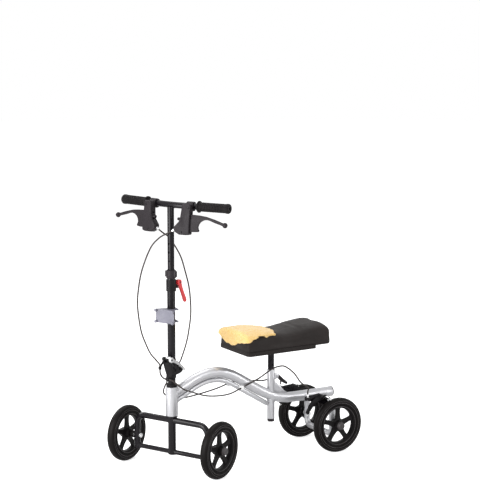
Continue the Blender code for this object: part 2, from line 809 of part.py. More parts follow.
def fold_head_mesh():
    """Upper half of the folding joint: slanted plate, socket for the tiller tube, rear knuckle."""
    lift = GAP * 2
    back = FOLD_PIN_Y - 0.012
    foot = prism(
        [
            (NOSE_FRONT_Y, part_line(NOSE_FRONT_Y) + lift),
            (back, part_line(back) + lift),
            (back + 0.001, part_line(back) + FOLD_PLATE - 0.001),
            (TILLER_R + 0.003, part_line(TILLER_R + 0.003) + FOLD_PLATE),
            (-TILLER_R, part_line(-TILLER_R) + FOLD_PLATE),
            (NOSE_FRONT_Y, part_line(NOSE_FRONT_Y) + FOLD_PLATE - 0.003),
        ],
        -FOLD_HALF + 0.001,
        FOLD_HALF - 0.001,
    )
    socket = cylinder(TILLER_R + 0.0015, 0.3740, 0.4010, 18, chamfer=0.0006)
    knuckle = cylinder(
        FOLD_EAR_R, -FOLD_KNUCKLE_HALF, FOLD_KNUCKLE_HALF, 16, "X", (0, FOLD_PIN_Y, FOLD_PIN_Z)
    )
    arm = prism(
        [
            (FOLD_PIN_Y - 0.020, part_line(FOLD_PIN_Y - 0.020) + lift),
            (FOLD_PIN_Y - 0.006, FOLD_PIN_Z - 0.002),
            (FOLD_PIN_Y, FOLD_PIN_Z + FOLD_EAR_R),
            (FOLD_PIN_Y - 0.020, FOLD_PIN_Z + FOLD_EAR_R + 0.006),
        ],
        -FOLD_KNUCKLE_HALF,
        FOLD_KNUCKLE_HALF,
    )
    ear_room = []
    for side in (-1, 1):
        reach = sorted((side * (FOLD_KNUCKLE_HALF + GAP), side * (FOLD_HALF + 0.01)))
        ear_room.append(
            cylinder(
                FOLD_EAR_R + RUN * 2, reach[0], reach[1], 14, "X", (0, FOLD_PIN_Y, FOLD_PIN_Z)
            )
        )
    nose_sides = []
    for side in (-1, 1):
        reach = sorted((side * (LATCH_SLOT_HALF - GAP), side * (QR_X + RUN)))
        nose_sides.append(
            box((reach[0], NOSE_FRONT_Y - 0.01, 0.37), (reach[1], PART_FRONT_Y + 0.0097, 0.44))
        )
    below = prism(
        [
            (-0.050, part_line(-0.050) + 0.003),
            (0.0300, part_line(0.0300) + 0.003),
            (0.0300, 0.34),
            (-0.050, 0.34),
        ],
        -0.03,
        0.03,
    )
    tube_hole = cylinder(TILLER_R + 2 * GAP, TILLER_BOTTOM - GAP, 0.45, 20)
    pin_hole = cylinder(
        FOLD_PIN_R + RUN, -0.02, 0.02, 12, "X", (0, FOLD_PIN_Y, FOLD_PIN_Z)
    )
    lx, ly, lz = LEFT_TILLER_GUIDE
    rx, ry, rz = RIGHT_TILLER_GUIDE
    prong = sweep(
        [(-0.0090, -0.0125, 0.3960), (-0.0225, -0.0140, 0.3960), (lx + 0.001, ly, lz + 0.003)],
        0.0034,
        8,
    )
    guides = [
        prong,
        cylinder(GUIDE_R, -GUIDE_LONG / 2, GUIDE_LONG / 2, 10, "Z", LEFT_TILLER_GUIDE),
        box((rx, ry - 0.004, rz - 0.0035), (rx + 0.0110, ry + 0.004, rz + 0.0035)),
        cylinder(GUIDE_R, -GUIDE_LONG / 2, GUIDE_LONG / 2, 10, "Y", RIGHT_TILLER_GUIDE),
    ]
    bores = [
        cylinder(CLIP_BORE_R, -GUIDE_LONG, GUIDE_LONG, 8, "Z", LEFT_TILLER_GUIDE),
        cylinder(CLIP_BORE_R, -GUIDE_LONG, GUIDE_LONG, 8, "Y", RIGHT_TILLER_GUIDE),
    ]
    return carved(
        foot,
        joins=[carved(socket, cuts=[below]), knuckle, arm] + guides,
        cuts=[tube_hole, pin_hole] + ear_room + nose_sides + bores,
    )


def quick_lever_mesh():
    """Quick-release lever: round cam boss with a roof over the front ear, bowed blade, tip."""
    start = Vector((0.0, 0.0))
    tip = Vector((QR_TIP_Y - LATCH_PIN_Y, QR_TIP_Z - LATCH_PIN_Z))
    along = tip.normalized()
    side = Vector((-along.y, along.x))
    upper, lower = [], []
    steps = 6
    for i in range(steps + 1):
        share = i / steps
        middle = start + tip * share + side * (QR_BOW * math.sin(math.pi * share))
        half = 0.0062 + (0.0034 - 0.0062) * share
        upper.append(middle + side * half)
        lower.append(middle - side * half)
    end = []
    for k in range(1, 5):
        angle = math.pi * k / 5
        spot = tip + side * (0.0034 * math.cos(angle)) + along * (0.0034 * math.sin(angle))
        end.append(spot)
    outline = [tuple(p) for p in upper + end + lower[::-1]]
    blade = prism(outline, QR_X, QR_X + QR_THICK)
    boss = cylinder(QR_BOSS_R, QR_X, QR_X + QR_THICK + 0.002, 14, "X", chamfer=0.0008)
    turns = [math.radians(100 + 10 * k) for k in range(6)]
    roof = [(QR_ROOF_OUT * math.cos(a), QR_ROOF_OUT * math.sin(a)) for a in turns]
    roof += [(QR_ROOF_IN * math.cos(a), QR_ROOF_IN * math.sin(a)) for a in turns[::-1]]
    cover = prism(roof, QR_ROOF_X, QR_X + QR_THICK - 0.0005)
    bore = cylinder(FOLD_PIN_R + GAP, 0, 0.06, 10, "X")
    return carved(blade, joins=[boss, cover], cuts=[bore])


# Tiller


def tiller_tube_mesh():
    profile = [
        (TILLER_R, TILLER_BOTTOM),
        (TILLER_R, TILLER_TOP),
        (TILLER_BORE_R, TILLER_TOP),
        (TILLER_BORE_R, TILLER_BOTTOM + 0.004),
    ]
    tube = lathe(profile, 22)
    hole = cylinder(PIN_R + GAP, 0.0, 0.03, 10, "Y", (0, 0, PIN_Z))
    rivet = cylinder(0.0040, -TILLER_R - 0.0035, -TILLER_BORE_R - 0.0006, 8, "Y", (0, 0, PIN_Z))
    return carved(tube, joins=[rivet], cuts=[hole])


def collar_mesh():
    lip = TILLER_TOP + GAP
    ring = lathe(
        [
            (TILLER_R + 2 * GAP, COLLAR_BOTTOM),
            (COLLAR_R, COLLAR_BOTTOM),
            (COLLAR_R, COLLAR_TOP - 0.002),
            (COLLAR_R - 0.002, COLLAR_TOP),
            (UPPER_R + RUN, COLLAR_TOP),
            (UPPER_R + RUN, lip),
            (TILLER_R + 2 * GAP, lip),
        ],
        18,
        hollow=True,
    )
    ears = []
    middle = (COLLAR_BOTTOM + COLLAR_TOP) / 2
    for side in (-1, 1):
        outline = rounded(
            [
                (COLLAR_BOTTOM + 0.002, side * (TILLER_R + 0.001), 0),
                (COLLAR_BOTTOM + 0.004, side * (COLLAR_R + COLLAR_EAR), 0.002),
                (COLLAR_TOP - 0.004, side * (COLLAR_R + COLLAR_EAR), 0.002),
                (COLLAR_TOP - 0.002, side * (TILLER_R + 0.001), 0),
            ],
            2,
        )
        ears.append(prism(outline, -0.0055, 0.0055, "Y"))
        reach = sorted((side * TILLER_R, side * (COLLAR_R + COLLAR_EAR + 0.0015)))
        ears.append(cylinder(0.0032, reach[0] + 0.002, reach[1], 6, "X", (0, 0, middle)))
    core = cylinder(TILLER_R + 2 * GAP, COLLAR_BOTTOM - 0.01, lip - GAP, 18)
    return carved(ring, joins=ears, cuts=[core])


def clamp_mesh():
    """Block round the tube with rear ears for the lever and a boss for the spring pin."""
    top = CLAMP_BOTTOM + CLAMP_HIGH
    ring = lathe(
        [
            (TILLER_R + 2 * GAP, CLAMP_BOTTOM),
            (CLAMP_R, CLAMP_BOTTOM),
            (CLAMP_R, top),
            (TILLER_R + 2 * GAP, top),
        ],
        18,
        hollow=True,
    )
    ears = prism(
        rounded(
            [
                (0.010, CLAMP_PIVOT_Z - 0.012, 0),
                (CLAMP_EAR_BACK, CLAMP_PIVOT_Z - 0.008, 0.004),
                (CLAMP_EAR_BACK, CLAMP_PIVOT_Z + 0.007, 0.005),
                (0.010, CLAMP_PIVOT_Z + 0.009, 0),
            ],
            2,
        ),
        -CLAMP_EAR_HALF,
        CLAMP_EAR_HALF,
    )
    slot = box((-0.0012, TILLER_R - 0.004, CLAMP_BOTTOM - 0.01), (0.0012, 0.06, top + 0.01))
    boss = cylinder(0.0075, TILLER_R - 0.001, KNOB_START - RUN, 12, "Y", (0, 0, PIN_Z))
    core = cylinder(TILLER_R + 2 * GAP, CLAMP_BOTTOM - 0.01, top + 0.01, 18)
    bore = cylinder(PIN_R + RUN, 0.005, 0.06, 10, "Y", (0, 0, PIN_Z))
    rivet = cylinder(0.0047, -0.03, -0.005, 8, "Y", (0, 0, PIN_Z))
    pin = cylinder(
        0.0030,
        -CLAMP_EAR_HALF - 0.002,
        CLAMP_EAR_HALF + CLAMP_LEVER_R * 2 + 0.001,
        10,
        "X",
        (0, CLAMP_PIVOT_Y, CLAMP_PIVOT_Z),
    )
    block = carved(ring, joins=[ears, boss], cuts=[core, slot, bore, rivet])
    return carved(block, joins=[pin])


def clamp_lever_mesh():
    """Red lever: cam head and a round bar hanging back and down beside the knob."""
    middle = CLAMP_EAR_HALF + GAP * 2 + CLAMP_LEVER_R
    direction = Vector((0, math.sin(CLAMP_LEVER_TURN), -math.cos(CLAMP_LEVER_TURN)))
    path = [Vector((middle, 0, 0)) + direction * (CLAMP_LEVER_LONG * k / 6) for k in range(7)]
    rings = []
    for k, (point, (_, normal, other)) in enumerate(zip(path, frames_along(path))):
        radius = CLAMP_LEVER_R * (0.82, 0.86, 0.84, 0.84, 0.92, 1.0, 0.72)[k]
        ring = []
        for i in range(10):
            angle = 2 * math.pi * (i + 0.5) / 10
            ring.append(point + (normal * math.cos(angle) + other * math.sin(angle)) * radius)
        rings.append(ring)
    bar = loft(rings)
    head = cylinder(
        CLAMP_LEVER_R * 1.35, middle - CLAMP_LEVER_R, middle + CLAMP_LEVER_R, 16, "X", chamfer=0.001
    )
    bore = cylinder(0.0030 + GAP, 0, 0.05, 10, "X")
    return carved(head, joins=[bar], cuts=[bore])


def lock_pin_mesh():
    """Silver spring pin in its boss, with the pointed black pull knob behind."""
    tip = TILLER_BORE_R + 0.0003
    profile = [
        (PIN_R - 0.0008, tip),
        (PIN_R, tip + 0.0008),
        (PIN_R, KNOB_START),
        (KNOB_R, KNOB_START),
        (KNOB_R, KNOB_START + KNOB_LONG * 0.30),
        (KNOB_R * 0.72, KNOB_START + KNOB_LONG * 0.45),
        (KNOB_R * 0.72, KNOB_START + KNOB_LONG * 0.62),
        (KNOB_R * 0.30, KNOB_START + KNOB_LONG),
    ]
    return lathe(profile, 10, "Y")


def bracket_mesh():
    """Basket bracket: front plate with four hook posts, two flanges clamped on the tube."""
    low = PLATE_Z - PLATE_HIGH / 2
    high = PLATE_Z + PLATE_HIGH / 2
    plate = box((-PLATE_HALF, PLATE_Y, low), (PLATE_HALF, PLATE_Y + PLATE_T, high))
    joins, bores = [], []
    for level in (low + 0.0008, high - PLATE_T - 0.0008):
        outline = rounded(
            [
                (-PLATE_HALF + 0.001, PLATE_Y + 0.001, 0),
                (PLATE_HALF - 0.001, PLATE_Y + 0.001, 0),
                (PLATE_HALF - 0.001, PLATE_Y + 0.010, 0.004),
                (FLANGE_HALF, -0.004, 0.004),
                (FLANGE_HALF, FLANGE_BACK, 0.012),
                (-FLANGE_HALF, FLANGE_BACK, 0.012),
                (-FLANGE_HALF, -0.004, 0.004),
                (-PLATE_HALF + 0.001, PLATE_Y + 0.010, 0.004),
            ],
            2,
        )
        joins.append(prism(outline, level, level + PLATE_T, "Z"))
        spot = (0, 0, level + PLATE_T / 2)
        joins.append(
            lathe(
                [(SCREW_R, FLANGE_HALF - 0.003), (SCREW_R, SCREW_REACH - 0.008), (0.0008, SCREW_REACH)],
                6,
                "X",
                spot,
            )
        )
    for side in (-1, 1):
        for level in (low + 0.004, high - 0.004):
            spot = (side * (PLATE_HALF - POST_HOOK_R * 0.6), 0, level)
            joins.append(
                cylinder(POST_HOOK_R, PLATE_Y - POST_HOOK_OUT, PLATE_Y + 0.001, 8, "Y", spot)
            )
    bores.append(cylinder(TILLER_R + 2 * GAP, low - 0.01, high + 0.01, 18))
    return carved(plate, joins=joins, cuts=bores)


# Handlebar


def handlebar_mesh():
    """Perforated upright tube welded to the cross bar, whose ends sweep back a little."""
    top = BAR_Z - BAR_R * 0.5
    upright = cylinder(UPPER_R, UPPER_BOTTOM, top, 20)
    bend = Vector((BAR_SWEEP_X, BAR_SETBACK, BAR_Z))
    reach = BAR_HALF - BAR_SWEEP_X
    tip = bend + Vector((math.cos(BAR_SWEEP), math.sin(BAR_SWEEP), 0)) * reach
    across = Vector((-1, 1, 1))
    bar = sweep([tip * across, bend * across, bend, tip], BAR_R, 14)
    holes = []
    for i in range(1, HOLES - 1):
        spot = (0, 0, PIN_Z + HOLE_PITCH * i)
        holes.append(cylinder(HOLE_R, -0.03, 0.0, 7, "Y", spot))
    core = cylinder(UPPER_R - 0.0020, UPPER_BOTTOM - 0.01, BAR_Z - BAR_R - 0.010, 16)
    return carved(upright, joins=[bar], cuts=[core] + holes)


def turn_about(spot, angle, axis):
    low = Matrix.Translation([-value for value in spot])
    return Matrix.Translation(spot) @ Matrix.Rotation(angle, 4, axis) @ low


def sweep_turn():
    """The turn of the bar's left end about its bend."""
    return turn_about((BAR_SWEEP_X, BAR_SETBACK, BAR_Z), BAR_SWEEP, "Z")


def tilt_turn():
    """The tilt of a brake housing about the bar."""
    return turn_about((0, BAR_SETBACK, BAR_Z), HOUSING_TILT, "X")


def swept_back(mesh):
    copy = mesh.copy()
    copy.transform(sweep_turn())
    return copy


def grip_mesh():
    """Rubber grip on the bar's end, with an inner flange, shallow ribs and a closed end."""
    end = BAR_HALF + GRIP_END_THICK
    start = GRIP_INNER
    profile = [
        (BAR_R + GAP, start),
        (GRIP_FLANGE_R, start),
        (GRIP_FLANGE_R, start + GRIP_FLANGE_T),
        (GRIP_R, start + GRIP_FLANGE_T + 0.002),
    ]
    first = start + GRIP_FLANGE_T + 0.012
    pitch = (end - 0.012 - first) / GRIP_RIBS
    for i in range(GRIP_RIBS):
        at = first + pitch * i
        profile.append((GRIP_R, at))
        profile.append((GRIP_R - 0.0012, at + pitch * 0.5))
    profile += [
        (GRIP_R, end - 0.010),
        (GRIP_R - 0.001, end - 0.004),
        (GRIP_R * 0.72, end),
        (0.004, end),
        (0.004, BAR_HALF + GAP),
        (BAR_R + GAP, BAR_HALF + GAP),
    ]
    return swept_back(lathe(profile, 14, "X", (0, BAR_SETBACK, BAR_Z), hollow=True))


def housing_middle():
    return (HOUSING_FRONT + HOUSING_BACK) / 2


def tilted(x, y, z):
    """A point of the brake housing's own upright drawing, tilted and turned as on the bar."""
    return sweep_turn() @ tilt_turn() @ Vector((x, y, z))


def tilt_mesh(mesh):
    copy = mesh.copy()
    copy.transform(sweep_turn() @ tilt_turn())
    return copy


def ferrule_line():
    """Root and mouth of the cable ferrule on the housing's inner side, before the tilt."""
    root = Vector((FERRULE_X, housing_middle(), FERRULE_Z))
    way = Vector((-math.cos(FERRULE_TURN), 0, -math.sin(FERRULE_TURN)))
    return root, way


def housing_mesh():
    """Brake housing: clamp on the bar over a broad hanging body, split for the lever."""
    outline = rounded(
        [
            (HOUSING_TOP_IN, BAR_Z + 0.008, 0.004),
            (HOUSING_OUT, BAR_Z + 0.008, 0.004),
            (HOUSING_OUT, HOUSING_BOTTOM + 0.003, 0.004),
            (HOUSING_OUT - 0.012, HOUSING_BOTTOM, 0.004),
            (0.0560, HOUSING_BOTTOM, 0.012),
            (0.0350, HOUSING_BOTTOM + 0.0110, 0.006),
            (0.0360, HOUSING_BOTTOM + 0.0270, 0.004),
            (0.0530, HOUSING_BOTTOM + 0.0460, 0.010),
            (0.0580, HOUSING_BOTTOM + 0.0630, 0.006),
        ],
        2,
    )
    xs = [a for a, _ in outline]
    zs = [b for _, b in outline]
    middle = (sum(xs) / len(xs), sum(zs) / len(zs))
    rings = []
    levels = (
        (HOUSING_FRONT, 0.0030),
        (HOUSING_FRONT + 0.003, 0.0),
        (HOUSING_BACK, 0.0),
    )
    for y, shrink in levels:
        ring = []
        for a, b in outline:
            da, db = a - middle[0], b - middle[1]
            reach = math.hypot(da, db)
            scale = (reach - shrink) / reach
            ring.append(Vector((middle[0] + da * scale, y, middle[1] + db * scale)))
        rings.append(ring)
    body = loft(rings)
    clamp_at = (0, BAR_SETBACK, BAR_Z)
    wide = (HOUSING_TOP_IN + 0.002, HOUSING_OUT - 0.003)
    clamp = cylinder(HOUSING_CLAMP_R, wide[0], wide[1], 14, "X", clamp_at)
    knob_z = HOUSING_KNOB_Z
    knob = cylinder(0.0052, 0.0440, 0.0600, 10, "X", (0, housing_middle(), knob_z))
    root, way = ferrule_line()
    ferrule = sweep([root - way * 0.004, root + way * FERRULE_LONG], FERRULE_R, 8)
    hollow = sweep([root + way * (FERRULE_LONG - 0.006), root + way * 0.03], CLIP_BORE_R, 8)
    wire_way = sweep([root - way * 0.020, root + way * 0.02], 0.0016, 6)
    bore = cylinder(BAR_R + 2 * GAP, 0, 0.2, 14, "X", clamp_at)
    half = LEVER_THICK / 2 + LEVER_SLOT
    room = [
        (LEVER_PIVOT_X - 0.0110, HOUSING_BOTTOM + 0.0080),
        (LEVER_PIVOT_X - 0.0110, LEVER_PIVOT_Z + 0.0080),
        (LEVER_PIVOT_X, LEVER_PIVOT_Z + 0.0160),
        (LEVER_PIVOT_X + 0.0280, LEVER_PIVOT_Z + 0.0220),
        (HOUSING_OUT + 0.010, LEVER_PIVOT_Z + 0.0270),
        (HOUSING_OUT + 0.010, HOUSING_BOTTOM + 0.0080),
    ]
    middle_y = housing_middle()
    slot = prism([(b, a) for a, b in room], middle_y - half, middle_y + half, "Y")
    body = carved(body, joins=[clamp, knob, ferrule], cuts=[bore, slot, hollow, wire_way])
    pin = cylinder(
        LEVER_PIN_R,
        HOUSING_FRONT - 0.001,
        HOUSING_BACK + 0.001,
        10,
        "Y",
        (LEVER_PIVOT_X, 0, LEVER_PIVOT_Z),
    )
    return tilt_mesh(carved(body, joins=[pin]))


def lever_mesh():
    """Brake lever: root plate in the housing, fin with a round finger cut, blade, ball end."""
    half = LEVER_THICK / 2
    end_x, end_z = LEVER_END_X, LEVER_END_Z
    shape = [
        (-0.0070, -0.0050),
        (-0.0080, 0.0020),
        (-0.0040, 0.0075),
        (0.0080, 0.0120),
        (0.0440, 0.0150),
        (0.0660, 0.0140),
        (0.0930, 0.0110),
        (0.1260, 0.0030),
    ]
    under = [
        (0.1260, -0.0080),
        (0.1080, -0.0020),
        (0.0960, 0.0000),
        (0.0840, -0.0020),
        (0.0730, -0.0080),
        (0.0660, -0.0170),
        (0.0630, -0.0270),
        (0.0650, -0.0340),
        (0.0680, -0.0390),
        (0.0640, -0.0435),
        (0.0460, -0.0450),
        (0.0340, -0.0440),
        (0.0230, -0.0360),
        (0.0080, -0.0170),
    ]
    outline = [(LEVER_PIVOT_X + a, LEVER_PIVOT_Z + b) for a, b in shape]
    outline += [(end_x, end_z + 0.0055), (end_x, end_z - 0.0040)]
    outline += [(LEVER_PIVOT_X + a, LEVER_PIVOT_Z + b) for a, b in under]
    middle_y = housing_middle()
    blade = prism([(b, a) for a, b in outline], middle_y - half, middle_y + half, "Y")
    ball = lathe(
        [
            (LEVER_BALL_R * 0.60, -LEVER_BALL_R * 0.80),
            (LEVER_BALL_R, -LEVER_BALL_R * 0.20),
            (LEVER_BALL_R, LEVER_BALL_R * 0.20),
            (LEVER_BALL_R * 0.60, LEVER_BALL_R * 0.80),
        ],
        10,
        "Y",
        (end_x + 0.006, middle_y, end_z - 0.001),
    )
    bore = cylinder(
        LEVER_PIN_R + RUN, -0.06, 0.02, 10, "Y", (LEVER_PIVOT_X, 0, LEVER_PIVOT_Z)
    )
    return tilt_mesh(carved(blade, joins=[ball], cuts=[bore]))


# Main frame


def backbone_points(samples=24):
    """Centre line of the backbone: rises from the head tube over the hump, then runs flat."""
    start = Vector((0, 0.0, BACKBONE_START - 0.008))
    route = [
        start,
        Vector((0, 0.045, BACKBONE_START + (HUMP_Z - BACKBONE_START) * 0.24)),
        Vector((0, 0.105, BACKBONE_START + (HUMP_Z - BACKBONE_START) * 0.78)),
        Vector((0, HUMP_Y, HUMP_Z)),
        Vector((0, HUMP_Y + 0.062, HUMP_Z - (HUMP_Z - REAR_Z) * 0.105)),
        Vector((0, HUMP_Y + 0.120, HUMP_Z - (HUMP_Z - REAR_Z) * 0.345)),
        Vector((0, HUMP_Y + 0.180, HUMP_Z - (HUMP_Z - REAR_Z) * 0.625)),
        Vector((0, HUMP_Y + 0.240, HUMP_Z - (HUMP_Z - REAR_Z) * 0.855)),
        Vector((0, DIP_Y, REAR_Z + 0.0030)),
        Vector((0, DIP_Y + 0.060, REAR_Z)),
        Vector((0, BACKBONE_END, REAR_Z)),
    ]
    return smooth_path(route, (BACKBONE_END + 0.10) / samples)


def backbone_at(y):
    """Height and slope of the backbone's centre line."""
    points = backbone_points()
    ys = [p.y for p in points]
    zs = [p.z for p in points]
    here = float(np.interp(y, ys, zs))
    ahead = float(np.interp(y + 0.004, ys, zs))
    behind = float(np.interp(y - 0.004, ys, zs))
    return here, (ahead - behind) / 0.008


def brace_points():
    """The brace lies along the backbone's underside, then runs straight to the seat tube."""
    offset = BACKBONE_R + BRACE_R + BRACE_CLEAR
    route = []
    for i in range(15):
        y = 0.020 + (BRACE_SPLIT_Y - 0.020) * i / 14
        z, slope = backbone_at(y)
        down = Vector((0, slope, -1)).normalized()
        route.append(Vector((0, y, z)) + down * offset)
    end_y = SEAT_Y
    z, slope = backbone_at(end_y - SEAT_TUBE_R)
    down = Vector((0, slope, -1)).normalized()
    end = Vector((0, end_y - SEAT_TUBE_R, z)) + down * (offset + BRACE_END_DROP)
    last = route[-1]
    for share in (0.3, 0.65, 1.0):
        route.append(last.lerp(end, share))
    back = (end - last).normalized() * 0.012
    route.append(end + back)
    front = (route[0] - route[1]).normalized() * 0.012
    return [route[0] + front] + route


def head_cutter(extra):
    return cylinder(HEAD_R + extra, 0.10, 0.40, 22)


def seat_cutter(extra):
    return cylinder(SEAT_TUBE_R + extra, 0.05, 0.45, 20, "Z", (0, SEAT_Y, 0))


def head_tube_mesh():
    inner = HEAD_R - HEAD_WALL
    return lathe(
        [
            (inner, HEAD_BOTTOM),
            (HEAD_R, HEAD_BOTTOM),
            (HEAD_R, HEAD_TOP - 0.0012),
            (HEAD_R - 0.0012, HEAD_TOP),
            (inner, HEAD_TOP),
        ],
        22,
        hollow=True,
    )


def backbone_mesh():
    tube = sweep(backbone_points(), BACKBONE_R, 16)
    return carved(tube, cuts=[head_cutter(GAP), seat_cutter(GAP)])


def brace_mesh():
    path = smooth_path(brace_points(), 0.020)
    tube = sweep(path, BRACE_R, 10)
    return carved(tube, cuts=[head_cutter(GAP), seat_cutter(GAP)])


def end_cap_mesh():
    start = BACKBONE_END + GAP
    profile = [
        (BACKBONE_R, start),
        (BACKBONE_R, start + CAP_THICK * 0.6),
        (BACKBONE_R - 0.004, start + CAP_THICK),
    ]
    return lathe(profile, 16, "Y", (0, 0, REAR_Z))


def seat_tube_mesh():
    inner = SEAT_TUBE_R - SEAT_TUBE_WALL
    tube = lathe(
        [
            (inner, SEAT_TUBE_BOTTOM),
            (SEAT_TUBE_R, SEAT_TUBE_BOTTOM),
            (SEAT_TUBE_R, SEAT_TUBE_TOP),
            (inner, SEAT_TUBE_TOP),
        ],
        20,
        "Z",
        (0, SEAT_Y, 0),
        hollow=True,
    )
    joins = []
    for side in (-1, 1):
        reach = sorted((side * SEAT_EAR_SPACE / 2, side * (SEAT_EAR_SPACE / 2 + SEAT_EAR_THICK)))
        back = SEAT_TUBE_R + SEAT_EAR_OUT
        outline = rounded(
            [
                (SEAT_Y + 0.010, SEAT_EAR_Z - 0.012, 0),
                (SEAT_Y + back, SEAT_EAR_Z - 0.007, 0.005),
                (SEAT_Y + back, SEAT_EAR_Z + 0.007, 0.005),
                (SEAT_Y + 0.010, SEAT_EAR_Z + 0.012, 0),
            ],
            2,
        )
        joins.append(prism(outline, reach[0], reach[1]))
    core = cylinder(inner, SEAT_TUBE_BOTTOM - 0.01, SEAT_TUBE_TOP + 0.01, 20, "Z", (0, SEAT_Y, 0))
    slot = box((-0.0012, SEAT_Y + 0.008, 0.262), (0.0012, SEAT_Y + 0.03, SEAT_TUBE_TOP + 0.01))
    pin = cylinder(
        0.0028,
        -SEAT_EAR_SPACE / 2 - SEAT_EAR_THICK - 0.003,
        SEAT_EAR_SPACE / 2 + SEAT_EAR_THICK + 0.003,
        10,
        "X",
        (0, SEAT_Y + SEAT_TUBE_R + SEAT_EAR_OUT * 0.60, SEAT_EAR_Z),
    )
    bolt = cylinder(0.0040, SEAT_TUBE_R - 0.0010, SEAT_TUBE_R + 0.0015, 10, "X", (0, SEAT_Y, 0.2800))
    tube = carved(tube, joins=joins, cuts=[core, slot])
    return carved(tube, joins=[pin, bolt])


def seat_plug_mesh():
    inner = SEAT_TUBE_R - SEAT_TUBE_WALL - GAP
    profile = [
        (SEAT_TUBE_R - 0.0015, SEAT_TUBE_BOTTOM - SEAT_PLUG_DROP),
        (SEAT_TUBE_R - 0.0005, SEAT_TUBE_BOTTOM - GAP),
        (inner, SEAT_TUBE_BOTTOM - GAP),
        (inner, SEAT_TUBE_BOTTOM + 0.003),
    ]
    return lathe(profile, 14, "Z", (0, SEAT_Y, 0))


def gusset_mesh():
    """Triangular web in the corner behind the seat tube, cut to both tubes."""
    front = SEAT_Y + 0.004
    foot_y = SEAT_Y + SEAT_TUBE_R + GUSSET_LONG
    z, _ = backbone_at(foot_y)
    outline = [
        (front, GUSSET_HIGH),
        (SEAT_Y + SEAT_TUBE_R + 0.004, GUSSET_HIGH),
        (SEAT_Y + SEAT_TUBE_R + 0.012, GUSSET_HIGH - 0.009),
        (foot_y - 0.010, z + BACKBONE_R + 0.006),
        (foot_y, z + BACKBONE_R + 0.001),
        (foot_y, z),
        (front, z),
    ]
    web = prism(outline, -GUSSET_THICK / 2, GUSSET_THICK / 2)
    grown = sweep(backbone_points(), BACKBONE_R + GAP, 16)
    return carved(web, cuts=[seat_cutter(GAP), grown])


def rear_frame_mesh():
    """Closed silver loop across the back, seated against the backbone and drilled for the axles."""
    path = loop_path(
        REAR_LEG_X, REAR_LOOP_BOTTOM, REAR_LOOP_TOP, REAR_LOOP_BEND, y=WHEELBASE
    )
    loop = sweep(path, REAR_LOOP_R, 12, closed=True)
    grown = sweep(backbone_points(), BACKBONE_R + GAP, 16)
    holes = []
    for side in (-1, 1):
        reach = sorted((side * (REAR_LEG_X - 0.03), side * (REAR_LEG_X + 0.03)))
        spot = (0, WHEELBASE, WHEEL_R)
        holes.append(cylinder(AXLE_R + 2 * GAP, reach[0], reach[1], 10, "X", spot))
    return carved(loop, cuts=[grown] + holes)


# Rear brakes: points about the axle, at an angle from straight up towards the front


def round_axle(turn, radius):
    return (WHEELBASE - radius * math.sin(turn), WHEEL_R + radius * math.cos(turn))


def arm_pivot():
    return round_axle(ARM_PIVOT_TURN, WHEEL_R + ARM_PIVOT_OUT)


def arm_end():
    return round_axle(ARM_END_TURN, WHEEL_R + ARM_OUT)


def shoe_spot():
    return round_axle(SHOE_TURN, WHEEL_R + SHOE_GAP + SHOE_R)


def brake_arm_mesh():
    """Curved arm about the tyre, from the shoe's short end past the pivot to the wire's fork."""
    low = BRACKET_X + BRACKET_THICK / 2 + RUN
    high = low + ARM_THICK
    outer, inner = [], []
    steps = 7
    for i in range(steps + 1):
        share = i / steps
        turn = SHOE_TURN + (ARM_END_TURN - SHOE_TURN) * share
        start = SHOE_GAP + SHOE_R
        middle = start + (ARM_OUT - start) * min(share * 2.2, 1.0)
        half = ARM_WIDTH / 2 * (0.80 + 0.28 * math.sin(math.pi * share))
        outer.append(round_axle(turn, WHEEL_R + middle + half))
        inner.append(round_axle(turn, WHEEL_R + middle - half))
    blade = prism(outer + inner[::-1], low, high)
    boss = cylinder(ARM_BOSS_R, low, high, 12, "X", (0, *arm_pivot()))
    shoe_y, shoe_z = shoe_spot()
    eye = cylinder(ARM_BOSS_R * 0.85, low, high, 12, "X", (0, shoe_y, shoe_z))
    end = cylinder(ARM_WIDTH * 0.40, low, high, 12, "X", (0, *arm_end()))
    pin_hole = cylinder(ARM_PIN_R + RUN, low - 0.01, high + 0.01, 10, "X", (0, *arm_pivot()))
    shoe_hole = cylinder(SHOE_R * 0.62 + GAP, low - 0.01, high + 0.01, 10, "X", (0, shoe_y, shoe_z))
    end_y, end_z = arm_end()
    fork = box(
        ((low + high) / 2 - 0.0018, end_y - 0.0045, end_z - 0.02),
        ((low + high) / 2 + 0.0018, end_y + 0.0078, end_z + 0.026),
    )
    return carved(blade, joins=[boss, eye, end], cuts=[pin_hole, shoe_hole, fork])


def shoe_mesh():
    """Knurled silver roller over the tread, on its stem through the arm's short end."""
    low = BRACKET_X + BRACKET_THICK / 2 + RUN
    start = low + ARM_THICK + GAP
    end = start + SHOE_LONG
    y, z = shoe_spot()
    profile = [
        (SHOE_R * 0.62, low - GAP),
        (SHOE_R * 0.62, start),
        (SHOE_R * 0.90, start),
        (SHOE_R, start + 0.001),
        (SHOE_R, end - 0.001),
        (SHOE_R * 0.80, end),
    ]
    return lathe(profile, 10, "X", (0, y, z))


def anchor_spot():
    end_y, end_z = arm_end()
    return end_y, end_z + ANCHOR_LIFT


